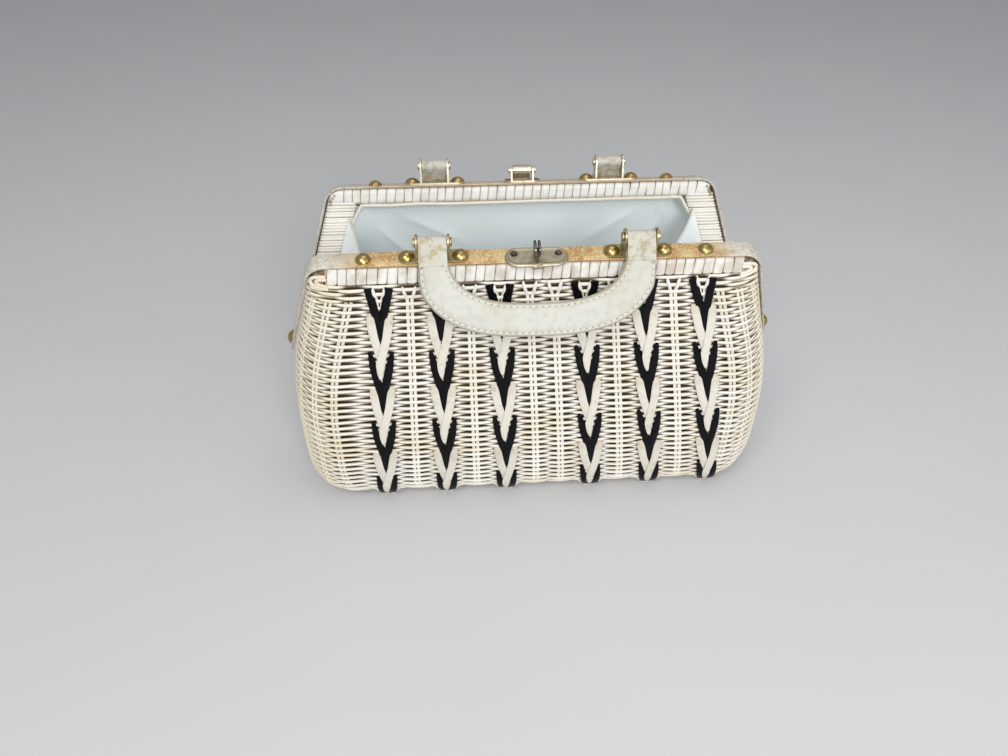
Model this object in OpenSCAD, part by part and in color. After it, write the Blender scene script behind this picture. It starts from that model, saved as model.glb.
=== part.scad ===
// Wicker handbag: two woven halves on a cane rod along the bottom seam, shown open.
// Millimetres, Z up, the front faces -Y, the origin lies on the floor under the seam.
// Each half is drawn closed, in its own frame: X across, Y away from the rim, Z up from the rod.

/* [Body] */
// Width of the woven body at its widest
body_w = 299; // [280:1:320]
// Width of the jaw at its upper corners
jaw_w = 264; // [250:1:272]
// Height of the jaw's top above the rod
jaw_h = 168; // [155:1:180]
// Depth of one half at the top of its jaw
jaw_depth = 12; // [11.5:0.5:14]
// How far each half leans outwards when open, degrees
open_angle = 15; // [12:0.5:18]
// Gap between each rim and the closing plane
rim_gap = 0.3; // [0.2:0.05:0.5]

/* [Wicker] */
// Thickness of the woven wall without its relief
wall = 2.4; // [1.8:0.1:3]
// How far the reeds stand in and out at each stake
relief = 0.7; // [0.4:0.05:0.9]
// Distance between rows of reed
row_pitch = 2.15; // [2:0.05:3]
// Distance between stakes at the bottom edge
stake_pitch = 19.75; // [17:0.25:22]
// How far the stakes lie to one side at the bottom edge
weave_drift = 10; // [0:0.5:11]
// Radius of the upright corners
corner_r = 25; // [18:1:30]
// Radius of the bottom edge
edge_r = 16; // [12:1:20]
// Radius of the bulge of the lower wall
belly_r = 204; // [160:2:240]
// Outward lean of the wall just above the bottom edge, degrees
toe_angle = 8; // [4:0.5:10]
// Inward lean of the upper wall when the bag stands open, degrees
face_lean = 10.7; // [9:0.1:12]
// Half width of the keel that the closed bag stands on
keel_half = 25; // [20:1:28]
// Height of the rounded bottom corners
corner_h = 38; // [30:1:48]
// Width of the rounded bottom corners
corner_w = 32; // [24:1:38]
// Slope of the upper side edges, degrees
side_slope = 18; // [15:0.5:20]

/* [Jaw] */
// Thickness of the leather strip
strip_t = 1.6; // [1.2:0.1:2.2]
// Radius of the jaw's corners, outside the strip
jaw_r = 13; // [11:0.5:16]
// Height of the strip's lower ends above the rod
strip_end_h = 98; // [90:1:112]
// Height of the wrapped binding
binding_h = 11; // [10:0.5:14]
// Thickness of the flat cane of the binding
binding_t = 1.2; // [0.9:0.1:1.5]
// Width of one turn of the binding
binding_turn = 5.5; // [4.5:0.25:7]
// Thickness of the rail's side legs
rail_leg = 6; // [5:0.5:7]

/* [Ribbon braids] */
// Distance between braid columns at the bottom edge
braid_pitch = 39.5; // [35:0.5:41]
// Half width of a braid at the top of a V
braid_half = 8; // [6.5:0.25:8.5]
// Number of Vs in a braid
braid_vees = 7; // [6:1:8]
// How much of the first V the binding cuts off
braid_lead = 9; // [5:0.5:11]
// Thickness of the ribbon
ribbon_t = 0.8; // [0.5:0.1:1]

/* [Handles] */
// Distance between the two brackets of a handle
bracket_span = 116; // [108:1:126]
// Width of the handle's tabs
handle_w = 15.5; // [14:0.5:18]
// Width of the handle's band at its middle
grip_w = 19; // [16:0.5:21]
// Thickness of the handle
handle_t = 6; // [5:0.5:6.5]
// Distance from the pin to the outer edge of the grip
handle_drop = 54; // [48:1:60]
// Height of the bracket's pin above the strip
pin_h = 11.5; // [11:0.5:13]
// Radius of the bracket's pin
pin_r = 1.5; // [1.2:0.1:1.8]
// Length of a bracket's base
bracket_l = 39.5; // [38:0.5:44]
// Depth of a bracket's base
bracket_d = 10; // [9:0.5:10.5]
// Thickness of the bracket's sheet metal
sheet_t = 1.2; // [0.9:0.1:1.5]
// Angle between a hanging handle and its half, degrees
hang_angle = 45; // [43:1:60]

/* [Clasp] */
// Length of the clasp plate
clasp_l = 36; // [32:1:40]
// Depth of the clasp plate
clasp_d = 15; // [13:0.5:16]
// Thickness of the clasp plate
clasp_t = 1.4; // [1:0.1:1.8]
// Length of the turn knob's wing
knob_l = 9.5; // [8:0.5:10.5]
// Thickness of the turn knob's wing
knob_t = 3; // [2.4:0.1:3.4]
// Height of the turn knob's wing
knob_h = 9; // [7:0.5:11]
// Radius of the turn knob's stem
stem_r = 1.4; // [1.1:0.1:1.6]
// Width of the hasp
hasp_w = 12; // [10.5:0.5:13]
// Thickness of the hasp
hasp_t = 1.2; // [1:0.1:1.4]
// Height of the hasp's pin above the strip
hasp_pin_h = 7.5; // [7:0.25:8.5]
// Angle below the level at which the opened hasp hangs, degrees
hasp_hang = 64; // [50:1:66]

/* [Nails] */
// Radius of a domed nail head
dome_r = 4.6; // [4:0.1:5]
// Height of a domed nail head
dome_h = 3; // [2.4:0.1:3.6]
// Radius of a nail's shank
shank_r = 0.9; // [0.7:0.1:1.1]
// Radius of a small nail's flat head
small_r = 1.7; // [1.4:0.1:2]

/* [Seam] */
// Radius of the cane rod in the bottom seam
rod_r = 2.2; // [1.8:0.1:2.6]
// Radius of the reed of a lashing loop
loop_r = 0.9; // [0.7:0.1:1.1]
// Distance between lashing loops
loop_pitch = 20; // [16:1:24]

/* [Lining] */
// Thickness of the lining
lining_t = 0.8; // [0.6:0.1:1]
// Distance from the wicker's mid face to the lining
lining_gap = 4.4; // [4.2:0.1:5]
// Distance from the side of the bag to the lining
lining_side = 17; // [13.5:0.5:18]
// Radius of the piping under the binding
piping_r = 1.2; // [0.9:0.1:1.5]

/* [Hidden] */
$fn = 48;
// Small fits: between seated pieces, round a pin, past a cut and between moving pieces
seat = 0.1;
running = 0.05;
overrun = 1;
clear = 0.5;

// The side line of the jaw's outline in normal form: x cos + z sin = side_c
jaw_mid_h = jaw_h - jaw_r;
jaw_flat = jaw_w / 2 - jaw_r;
side_c = jaw_flat * cos(side_slope) + jaw_mid_h * sin(side_slope) + jaw_r;
strip_seat = strip_t + relief + seat;
binding_top = jaw_h - strip_t - seat;
binding_bottom = binding_top - binding_h;
shell_top = binding_bottom - seat;

// Profile of the wall, drawn upwards from the keel: keel, base, bottom edge, belly, face
base_drop = wall - seat;
loop_out = rod_r + running + 2 * loop_r;
hinge_edge = loop_out + clear;
edge_turn = 90 - toe_angle + open_angle;
face_turn = 90 + face_lean + open_angle;
function ahead(h) = [cos(h), sin(h)];
function outward(h) = [sin(h), -cos(h)];
keel_point = [keel_half, -base_drop];
face_depth = jaw_depth + (jaw_h - shell_top) * tan(face_lean + open_angle);
top_point = [face_depth, shell_top];
arcs = edge_r * (outward(edge_turn) - outward(open_angle))
  + belly_r * (outward(face_turn) - outward(edge_turn));
span = top_point - keel_point - arcs;
base_l = (span.x * sin(face_turn) - span.y * cos(face_turn)) / sin(face_turn - open_angle);
face_l = (span.y * cos(open_angle) - span.x * sin(open_angle)) / sin(face_turn - open_angle);
belly_l = belly_r * (face_turn - edge_turn) * PI / 180;
edge_l = edge_r * (edge_turn - open_angle) * PI / 180;
keel_l = keel_half - hinge_edge;
woven_l = face_l + belly_l + edge_l;
profile_l = woven_l + base_l + keel_l;
belly_top = top_point - face_l * ahead(face_turn);
belly_mid = belly_top - belly_r * outward(face_turn);
edge_top = belly_mid + belly_r * outward(edge_turn);
edge_mid = edge_top - edge_r * outward(edge_turn);
base_end = edge_mid + edge_r * outward(open_angle);

// Heading of the profile and its point, at a distance s below the top of the woven wall
function turned(l, r) = l / r * 180 / PI;
function heading(s) = s <= face_l ? face_turn
  : s <= face_l + belly_l ? face_turn - turned(s - face_l, belly_r)
  : s < woven_l ? edge_turn - turned(s - face_l - belly_l, edge_r)
  : s <= woven_l + base_l ? open_angle : 0;
function profile(s) = s <= face_l ? top_point - s * ahead(face_turn)
  : s <= face_l + belly_l ? belly_mid + belly_r * outward(heading(s))
  : s < woven_l ? edge_mid + edge_r * outward(heading(s))
  : s <= woven_l + base_l ? base_end - (s - woven_l) * ahead(open_angle)
  : keel_point - [s - woven_l - base_l, 0];

// Half width of the wall at a height: sloped side, upright side, rounded bottom corner
side_blend = 8;
seam_in = 6;
function soft_min(a, b, k) = min(a, b) - pow(max(k - abs(a - b), 0), 2) / (4 * k);
function side_x(z, inset) = (side_c - inset - z * sin(side_slope)) / cos(side_slope);
function under(z) = max(0, min(1, (corner_h - z) / (corner_h + base_drop)));
function level(z) = sqrt(1 - pow(under(z), 2));
function round_in(z) = corner_w * (1 - level(z));
function seam_trim(s) = seam_in * max(0, s - woven_l - base_l) / keel_l;
function half_w(z) = soft_min(side_x(z, strip_seat), body_w / 2, side_blend) - round_in(z);

// Columns of the wall in plan: stakes across the face, round the corner, along the side
stake_offset_share = 0.42;
stake_taper_share = 0.135;
top_drift_share = 0.3;
corner_depth_share = 0.75;
edge_s = face_l + belly_l;
face_stakes = floor((body_w / 2 - corner_r - weave_drift) / stake_pitch - stake_offset_share) + 1;
corner_stakes = 4;
side_stakes = 2;
stakes = face_stakes + corner_stakes + side_stakes;
rail_out = jaw_depth - binding_t - seat;
function corner_width(w) = min(corner_r, w * corner_depth_share);
function corner_depth(depth, z) = min(corner_r,
  z > strip_end_h ? depth - rail_out - seat : depth * corner_depth_share);
// The stakes stand closer towards the top and drift to one side on their way down
function flat_at(s) = let(w = half_w(profile(s).y) - seam_trim(s)) w - corner_width(w);
function spread(s) = 1 - stake_taper_share * (1 - s / edge_s);
function drift(s) = weave_drift * (top_drift_share + (1 - top_drift_share) * s / edge_s);
function stake_x(x, s) = s < edge_s ? x * spread(s) + drift(s)
  : (x + weave_drift) * flat_at(s) / flat_at(edge_s);
function plan(k, side, s, w, p) =
  let(rx = corner_width(w), ry = corner_depth(p.x, p.y),
    a = 90 * (k - face_stakes - 1) / (corner_stakes - 1))
  k <= face_stakes
  ? [side * stake_x(side * (k - 1 + stake_offset_share) * stake_pitch, s), p.x, 0, 1]
  : k <= face_stakes + corner_stakes
  ? [w - rx + rx * sin(a), p.x - ry + ry * cos(a), sin(a), cos(a)]
  : [w, rim_gap + (p.x - ry - rim_gap) * (stakes - k) / side_stakes, 1, 0];

// A point of the wall: s along the profile, column k (negative on the left), out from the mid face
function unit(v) = v / norm(v);
function rim_at(z) = rim_gap + max(0, -z) * tan(open_angle);
function wall_point(s, k, out, side_in) =
  let(p = profile(s), n = outward(heading(s)), side = k < 0 ? -1 : 1,
    q = plan(abs(k), side, s, half_w(p.y) - side_in - seam_trim(s), p),
    v = unit([q[2] * level(p.y), q[3] * n.x, q[3] * n.y - q[2] * under(p.y)]),
    z = p.y + out * v.z)
  [side * (q.x + out * v.x), -max(rim_at(z), q.y + out * v.y), z];

// A closed sheet between two grids of points, listed row by row from the top; the inner face has
// only the rows of the outer one that are kept
module sheet(outer, inner, kept, cols) {
  n = len(outer);
  rows = n / cols;
  last = len(kept) - 1;
  function o(i, j) = i * cols + j;
  function quad(a, b, c, d, flip) = flip ? [[a, b, d], [b, c, d]] : [[a, b, c], [a, c, d]];
  function cell(from, i, j) = let(a = from + o(i, j), c = from + o(i + 1, j + 1))
    from == 0 ? quad(a, a + 1, c, c - 1, (i + j) % 2 == 0)
    : quad(a + 1, a, c - 1, c, (i + j) % 2 == 0);
  function edge(a, b, c, d) = [[a, b, d], [a, d, c]];
  function turned_over(list) = [for (f = list) [f[0], f[2], f[1]]];
  function flank(j) = [for (m = [0 : last - 1]) each concat(
    [for (i = [kept[m] : kept[m + 1] - 1]) [o(i, j), o(i + 1, j), n + o(m, j)]],
    [[o(kept[m + 1], j), n + o(m + 1, j), n + o(m, j)]])];
  faces = concat(
    [for (i = [0 : rows - 2], j = [0 : cols - 2]) each cell(0, i, j)],
    [for (m = [0 : last - 1], j = [0 : cols - 2]) each cell(n, m, j)],
    [for (j = [0 : cols - 2]) each edge(o(0, j + 1), o(0, j), n + o(0, j + 1), n + o(0, j))],
    [for (j = [0 : cols - 2]) each edge(o(rows - 1, j), o(rows - 1, j + 1),
      n + o(last, j), n + o(last, j + 1))],
    flank(0), turned_over(flank(cols - 1)));
  polyhedron(points = concat(outer, inner), faces = faces, convexity = 10);
}
function first(n) = [for (i = [0 : n - 1]) i];

// Each half is drawn once: side 1 is the front, side -1 the mirrored rear
hinge_h = keel_half * sin(open_angle) + base_drop * cos(open_angle);
module half(side) {
  translate([0, 0, hinge_h]) rotate([side * open_angle, 0, 0])
    if (side > 0) children(); else mirror([0, 1, 0]) children();
}

// Woven shell: rows of reed stand in and out at alternate stakes down to the bottom edge,
// the base and the inner face lie plain
base_rows = 2;
edge_rows = 4;
inner_step = 6;
columns = [for (k = [-stakes : stakes]) if (k != 0) k];
face_rows = round(edge_s / row_pitch);
row_places = concat([for (i = [0 : face_rows]) i * edge_s / face_rows],
  [for (i = [1 : edge_rows]) edge_s + i * edge_l / edge_rows],
  [for (i = [1 : base_rows]) woven_l + i * base_l / base_rows], [profile_l]);
inner_rows = [for (i = [0 : len(row_places) - 1]) if (i % inner_step == 0 || i >= face_rows) i];
function weave(i, k) = i == 0 || i >= face_rows || abs(k) == stakes ? 0
  : (i + abs(k) + (k < 0 ? 1 : 0)) % 2 == 0 ? relief : -relief;
module shell(side) {
  outer = [for (i = first(len(row_places)), k = columns) wall_point(row_places[i], k, weave(i, k), 0)];
  inner = [for (i = inner_rows, k = columns) wall_point(row_places[i], k, -wall, 0)];
  color("ivory") half(side) sheet(outer, inner, inner_rows, len(columns));
}

// Outline of the jaw, inset by top from its top and by leg from its side, round at the corner
corner_steps = 8;
function jaw_corner(top, leg, r) =
  let(z = jaw_h - top - r, x = (side_c - leg - r - z * sin(side_slope)) / cos(side_slope))
  [for (i = [0 : corner_steps]) let(a = 90 - (90 - side_slope) * i / corner_steps)
    [x + r * cos(a), z + r * sin(a)]];
function jaw_line(top, leg, r, end_h) = concat(jaw_corner(top, leg, r), [[side_x(end_h, leg), end_h]]);
// The same outline with a leg that stays inside the woven side wall down to its end
leg_steps = 6;
function inner_line(top, leg, r, end_h) = let(corner = jaw_corner(top, leg, r), z0 = corner[corner_steps].y)
  concat(corner, [for (i = [1 : leg_steps]) let(z = z0 + (end_h - z0) * i / leg_steps)
    [half_w(z) + (strip_seat - leg) / cos(side_slope), z]]);
function back(list) = [for (i = [len(list) - 1 : -1 : 0]) list[i]];
function mirrored(list) = [for (p = list) [-p.x, p.y]];
module jaw_arch(outer, inner, from, depth) {
  translate([0, -from, 0]) rotate([90, 0, 0]) linear_extrude(depth)
    polygon(concat(back(mirrored(outer)), outer, back(inner), mirrored(inner)));
}

// Places of the domed nails along the top, on both sides of the middle
nail_step = bracket_l / 2 - dome_r - seat;
bracket_nails = [bracket_span / 2 - nail_step, bracket_span / 2 + nail_step];
strip_nail_x = bracket_nails[1] + stake_pitch + dome_r;
jaw_mid = (rim_gap + jaw_depth) / 2;
binding_shank_share = 0.7;
shank_l = binding_h * binding_shank_share;
side_nail_h = strip_end_h + dome_r + overrun;
clasp_nail_share = 0.36;
clasp_nail_x = clasp_l / 2 - clasp_d * clasp_nail_share;
hasp_base_l = hasp_w + 2 * sheet_t + 2 * clear + 4 * small_r + 2 * overrun;
hasp_nail_x = hasp_base_l / 2 - small_r - overrun;
module top_nail_places(list) {
  for (x = list, side = [-1, 1]) translate([side * x, -jaw_mid, jaw_h]) children();
}
module side_nail_places() {
  for (side = [-1, 1]) translate([side * side_x(side_nail_h, 0), -jaw_mid, side_nail_h])
    rotate([0, side * (90 - side_slope), 0]) children();
}
module shank(r, l) {
  translate([0, 0, -l]) cylinder(r = r, h = l + overrun);
}
module strip_holes(small_x) {
  top_nail_places(concat(bracket_nails, [strip_nail_x])) shank(shank_r + running, shank_l + seat);
  top_nail_places([small_x]) shank(shank_r + running, shank_l + seat);
}

// Leather strip over the jaw, from one lower end over the top to the other
module strip(side, small_x) {
  color("tan") half(side) difference() {
    jaw_arch(jaw_line(0, 0, jaw_r, strip_end_h),
      jaw_line(strip_t, strip_t, jaw_r - strip_t, strip_end_h), rim_gap, jaw_depth - rim_gap);
    strip_holes(small_x);
    side_nail_places() shank(shank_r + running, strip_t + overrun);
  }
}

// Wooden rail: an inverted U whose upper bar fills the binding and whose legs line the sides
rail_top = strip_t + binding_t + 2 * seat;
rail_leg_in = strip_seat + wall + clear;
rail_r = jaw_r - rail_top;
rail_bar = binding_h - 2 * binding_t - 2 * seat;
rail_near = rim_gap + binding_t + seat;
rail_depth = rail_out - rail_near;
module rail(side, small_x) {
  color("peru") half(side) difference() {
    jaw_arch(inner_line(rail_top, rail_leg_in, rail_r, strip_end_h),
      inner_line(rail_top + rail_bar, rail_leg_in + rail_leg, seat, strip_end_h),
      rail_near, rail_depth);
    strip_holes(small_x);
  }
}

// Flat cane binding: a tube round the rail's bar, leaning with the face, cut into turns
lean = tan(face_lean + open_angle);
groove_w = 0.6;
groove_d = 0.4;
binding_half = jaw_flat - overrun;
module binding_section(inset) {
  z0 = binding_bottom + inset;
  z1 = binding_top - inset;
  d0 = rim_gap + inset;
  d1 = jaw_depth - seat - inset;
  polygon([[d0, z0], [d1 + (z1 - z0) * lean, z0], [d1, z1], [d0, z1]]);
}
module along_x(from, l) {
  translate([from, 0, 0]) rotate([90, 0, -90]) mirror([0, 0, 1]) linear_extrude(l) children();
}
module binding(side, small_x) {
  turns = round(2 * binding_half / binding_turn);
  hole_z = jaw_h - rail_top - rail_bar - seat;
  color("white") half(side) difference() {
    along_x(-binding_half, 2 * binding_half) binding_section(0);
    for (i = [1 : turns - 1])
      along_x(-turns * binding_turn / 2 + i * binding_turn - groove_w / 2, groove_w)
        difference() {
          binding_section(-overrun);
          binding_section(groove_d);
        }
    translate([-jaw_w, -rail_near - rail_depth - seat, hole_z])
      cube([2 * jaw_w, rail_depth + 2 * seat, rail_bar + 2 * seat]);
    strip_holes(small_x);
  }
}

// Ribbon braids: nested Vs, one step apart, the last one tucked under the bottom edge
lap_share = 0.85;
ribbon_gap = 0.5;
ribbon_seat = relief + ribbon_gap;
braid_shift = stake_offset_share * stake_pitch;
braid_columns = [for (k = [-2.5 : 2.5]) k * braid_pitch + sign(k) * braid_shift];
last_vee = braid_vees - 1;
braid_step = edge_s / last_vee;
tuck_angle = acos((edge_r - seat) / (edge_r + ribbon_seat + ribbon_t));
tuck_l = edge_l - edge_r * tuck_angle * PI / 180;
braid_lap = tuck_l * lap_share;
function vee_start(i) = i == 0 ? seat : i * braid_step - braid_lead;
function vee_end(i) = i == last_vee ? edge_s + tuck_l : vee_start(i + 1) + braid_lap - ribbon_gap;
function vee_l(i) = vee_end(i) - vee_start(i);
function notch_half(i) = ribbon_gap + braid_half * braid_lap / vee_l(max(0, i - 1));
function face_point(x, offset_x, s, out) = let(p = profile(s), n = outward(heading(s)))
  [x * spread(s) + drift(s) + offset_x, -(p.x + out * n.x), p.y + out * n.y];
module vee(x, i) {
  start = vee_start(i);
  l = vee_l(i);
  notch = notch_half(i);
  arm = start + l < face_l ? 1 : start + l < edge_s ? 2 : i < last_vee ? 3 : 4;
  rows = min(arm, 2);
  function line(u, out) = [for (k = [-arm : arm]) let(t = 1 - abs(k) / arm)
    face_point(x, (notch + u * (braid_half - notch)) * k / arm,
      start + t * (braid_lap + u * (l - braid_lap)), out)];
  function grid(out) = [for (r = [0 : rows]) each line(r / rows, out)];
  sheet(grid(ribbon_seat + ribbon_t), grid(ribbon_seat), first(rows + 1), 2 * arm + 1);
}
module braids(side, from, tint) {
  color(tint) half(side) for (x = braid_columns, i = [from : 2 : last_vee]) vee(x, i);
}

// Domed nail: a shallow dome on a shank
module domed_nail(l) {
  ball = (dome_r * dome_r + dome_h * dome_h) / (2 * dome_h);
  rotate_extrude() intersection() {
    translate([0, dome_h - ball]) circle(r = ball);
    square([dome_r, dome_h]);
  }
  translate([0, 0, -l]) cylinder(r = shank_r, h = l + dome_h / 2);
}
module strip_nails(side) {
  color("gold") half(side) {
    top_nail_places([strip_nail_x]) translate([0, 0, seat]) domed_nail(shank_l);
    side_nail_places() translate([0, 0, seat]) domed_nail(strip_t);
  }
}
module bracket_nail_set(side) {
  color("gold") half(side) top_nail_places(bracket_nails)
    translate([0, 0, sheet_t + seat]) domed_nail(shank_l);
}

// Handle bracket: nailed base with two round-topped ears
ear_share = 3;
ear_r = pin_r * ear_share;
ear_gap = handle_w + 2 * clear;
module ear(h) {
  rotate([90, 0, 90]) linear_extrude(sheet_t) union() {
    translate([0, h]) circle(r = ear_r);
    translate([-ear_r, 0]) square([2 * ear_r, h]);
  }
}
module plate(l, d, t) {
  linear_extrude(t) union() {
    for (s = [-1, 1]) translate([s * (l - d) / 2, 0]) circle(d = d);
    square([l - d, d], center = true);
  }
}
module bracket(side, place) {
  color("khaki") half(side) translate([place * bracket_span / 2, -jaw_mid, jaw_h]) difference() {
    union() {
      plate(bracket_l, bracket_d, sheet_t);
      translate([ear_gap / 2, 0, 0]) ear(pin_h);
      translate([-ear_gap / 2 - sheet_t, 0, 0]) ear(pin_h);
    }
    translate([-bracket_l / 2, 0, pin_h]) rotate([0, 90, 0])
      cylinder(r = pin_r + running, h = bracket_l);
    for (s = [-1, 1]) translate([s * nail_step, 0, sheet_t]) shank(shank_r + running, pin_h);
  }
}

// Bracket pins: a rod with a round head outside each ear
pin_head_share = 1.7;
pin_head_r = pin_r * pin_head_share;
pin_head_t = 1.2;
module headed_pin(l, r) {
  head_r = r * pin_head_share;
  rotate([0, 90, 0]) {
    translate([0, 0, -l / 2 - pin_head_t]) cylinder(r = r, h = l + 2 * pin_head_t);
    for (z = [-l / 2 - pin_head_t, l / 2]) translate([0, 0, z]) cylinder(r = head_r, h = pin_head_t);
  }
}
module handle_pins(side) {
  color("darkkhaki") half(side) for (s = [-1, 1])
    translate([s * bracket_span / 2, -jaw_mid, jaw_h + pin_h])
      headed_pin(ear_gap + 2 * sheet_t + 2 * seat, pin_r);
}

// Handle: a D between two superellipses, with a rolled loop at each tab
grip_power = 2.75;
grip_steps = 28;
hub_wall_share = 0.42;
hub_r = pin_r + running + handle_t * hub_wall_share;
grip_bulge = 4;
function grip_line(a, b, bulge) = [for (i = [0 : grip_steps]) let(t = 180 * i / grip_steps,
  z = b * pow(abs(sin(t)), 2 / grip_power), f = min(1, max(0, z - 2 * ear_r) / grip_w))
  [(a + bulge * f) * sign(cos(t)) * pow(abs(cos(t)), 2 / grip_power), -z]];
module handle(side) {
  outer = bracket_span / 2 + handle_w / 2;
  inner = bracket_span / 2 - handle_w / 2 + clear;
  color("beige") half(side) translate([0, -jaw_mid, jaw_h + pin_h]) rotate([-hang_angle, 0, 0])
    difference() {
      union() {
        translate([0, handle_t / 2, 0]) rotate([90, 0, 0]) linear_extrude(handle_t)
          polygon(concat(grip_line(outer, handle_drop, grip_bulge),
            back(grip_line(inner, handle_drop - grip_w, 0))));
        for (s = [-1, 1]) translate([s * bracket_span / 2 - handle_w / 2, 0, 0])
          rotate([0, 90, 0]) cylinder(r = hub_r, h = handle_w);
      }
      for (s = [-1, 1]) translate([s * bracket_span / 2 - handle_w, 0, 0])
        rotate([0, 90, 0]) cylinder(r = pin_r + running, h = 2 * handle_w);
    }
}

// Clasp plate with a bevelled rim, its nails, and the turn knob that stands in its middle
clasp_mid = rim_gap + overrun + clasp_d / 2;
bevel = 0.6;
module clasp_plate() {
  color("silver") half(1) translate([0, -clasp_mid, jaw_h]) difference() {
    union() {
      plate(clasp_l, clasp_d, clasp_t - bevel);
      plate(clasp_l - 2 * bevel, clasp_d - 2 * bevel, clasp_t);
    }
    for (s = [-1, 1]) translate([s * clasp_nail_x, clasp_mid - jaw_mid, clasp_t])
      shank(shank_r + running, clasp_t + overrun);
    translate([0, 0, -overrun]) cylinder(r = stem_r + running, h = clasp_t + 2 * overrun);
  }
}
module small_nail(l) {
  cylinder(r1 = small_r, r2 = small_r - bevel / 2, h = bevel);
  translate([0, 0, -l]) cylinder(r = shank_r, h = l + bevel / 2);
}
module clasp_nails() {
  color("dimgray") half(1) top_nail_places([clasp_nail_x])
    translate([0, 0, clasp_t + seat]) small_nail(shank_l);
}
hasp_low = clasp_t + clear;
wing_low = hasp_low + hasp_t + clear;
module turn_knob() {
  color("slategray") half(1) translate([0, -clasp_mid, jaw_h]) {
    translate([0, 0, seat]) cylinder(r = stem_r, h = wing_low + knob_t / 2);
    translate([-knob_t / 2, 0, wing_low]) rotate([90, 0, 90]) linear_extrude(knob_t)
      intersection() {
        translate([-knob_l / 2, 0]) square([knob_l, knob_h]);
        translate([0, knob_h - knob_l]) circle(r = knob_l);
      }
  }
}

// Hasp bracket, its nails and pin, and the cranked, slotted hasp that hangs behind the bag
hasp_ear_gap = hasp_w + 2 * clear;
hasp_pin_share = 0.8;
hasp_pin_r = pin_r * hasp_pin_share;
knuckle_r = hasp_pin_r + running + hasp_t;
hasp_reach = clasp_mid + jaw_mid;
slot_l = knob_l + 2 * clear;
slot_w = knob_t + 2 * clear;
hasp_l = hasp_reach + slot_l / 2 + overrun * 2;
crank = hasp_pin_h - hasp_low - hasp_t;
module hasp_bracket() {
  color("khaki") half(-1) translate([0, -jaw_mid, jaw_h]) difference() {
    union() {
      plate(hasp_base_l, bracket_d, sheet_t);
      for (x = [hasp_ear_gap / 2, -hasp_ear_gap / 2 - sheet_t]) translate([x, 0, 0])
        rotate([90, 0, 90]) linear_extrude(sheet_t) union() {
          translate([0, hasp_pin_h]) circle(r = knuckle_r);
          translate([-knuckle_r, 0]) square([2 * knuckle_r, hasp_pin_h]);
        }
    }
    translate([-hasp_base_l / 2, 0, hasp_pin_h]) rotate([0, 90, 0])
      cylinder(r = hasp_pin_r + running, h = hasp_base_l);
    for (s = [-1, 1]) translate([s * hasp_nail_x, 0, sheet_t]) shank(shank_r + running, hasp_pin_h);
  }
}
module hasp_nails() {
  color("dimgray") half(-1) top_nail_places([hasp_nail_x])
    translate([0, 0, sheet_t + seat]) small_nail(shank_l);
}
module hasp_pin() {
  color("darkkhaki") half(-1) translate([0, -jaw_mid, jaw_h + hasp_pin_h])
    headed_pin(hasp_ear_gap + 2 * sheet_t + 2 * seat, hasp_pin_r);
}
module hasp() {
  color("lightgoldenrodyellow") half(-1) translate([0, -jaw_mid, jaw_h + hasp_pin_h])
    rotate([180 + hasp_hang, 0, 0]) translate([-hasp_w / 2, 0, 0]) difference() {
      union() {
        rotate([0, 90, 0]) cylinder(r = knuckle_r, h = hasp_w);
        translate([0, -hasp_t / 2, -crank - hasp_t]) cube([hasp_w, hasp_t, crank + hasp_t]);
        translate([0, -hasp_t / 2, -crank - hasp_t]) cube([hasp_w, hasp_l, hasp_t]);
      }
      translate([-overrun, 0, 0]) rotate([0, 90, 0])
        cylinder(r = hasp_pin_r + running, h = hasp_w + 2 * overrun);
      translate([hasp_w / 2 - slot_w / 2, hasp_reach - slot_l / 2, -crank - hasp_t - overrun])
        cube([slot_w, slot_l, hasp_t + 2 * overrun]);
    }
}

// Bottom seam: a cane rod through reed loops that belong to the halves by turns
seam_half = body_w / 2 - corner_w - corner_r;
loops = floor(seam_half / loop_pitch - 1 / 2);
module hinge_rod() {
  color("burlywood") translate([-seam_half, 0, hinge_h]) rotate([0, 90, 0])
    cylinder(r = rod_r, h = 2 * seam_half);
}
module hinge_loops(side) {
  color("wheat") half(side) for (i = [-loops : loops])
    if ((i + loops) % 2 == (side > 0 ? 0 : 1))
      translate([i * loop_pitch, 0, 0]) rotate([0, 90, 0])
        rotate_extrude() translate([rod_r + running + loop_r, 0]) circle(r = loop_r);
}

// Lining of a half, with the piping that hides its top edge under the binding
lining_rows = 8;
lining_columns = [for (k = [-stakes : stakes]) if (abs(k) % 2 == 1 || abs(k) == stakes) k];
module lining(side) {
  top_s = lining_gap;
  step = (profile_l - top_s) / lining_rows;
  function grid(out) = [for (i = [0 : lining_rows], k = lining_columns)
    wall_point(top_s + i * step, k, -lining_gap - out, lining_side - lining_gap)];
  color("lightcyan") half(side)
    sheet(grid(0), grid(lining_t), first(lining_rows + 1), len(lining_columns));
}
piping_half = side_x(binding_bottom, lining_side) - corner_r * corner_depth_share;
module piping(side) {
  color("linen") half(side)
    translate([-piping_half, -rim_gap - piping_r, binding_bottom - seat - piping_r])
      rotate([0, 90, 0]) cylinder(r = piping_r, h = 2 * piping_half);
}

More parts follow.
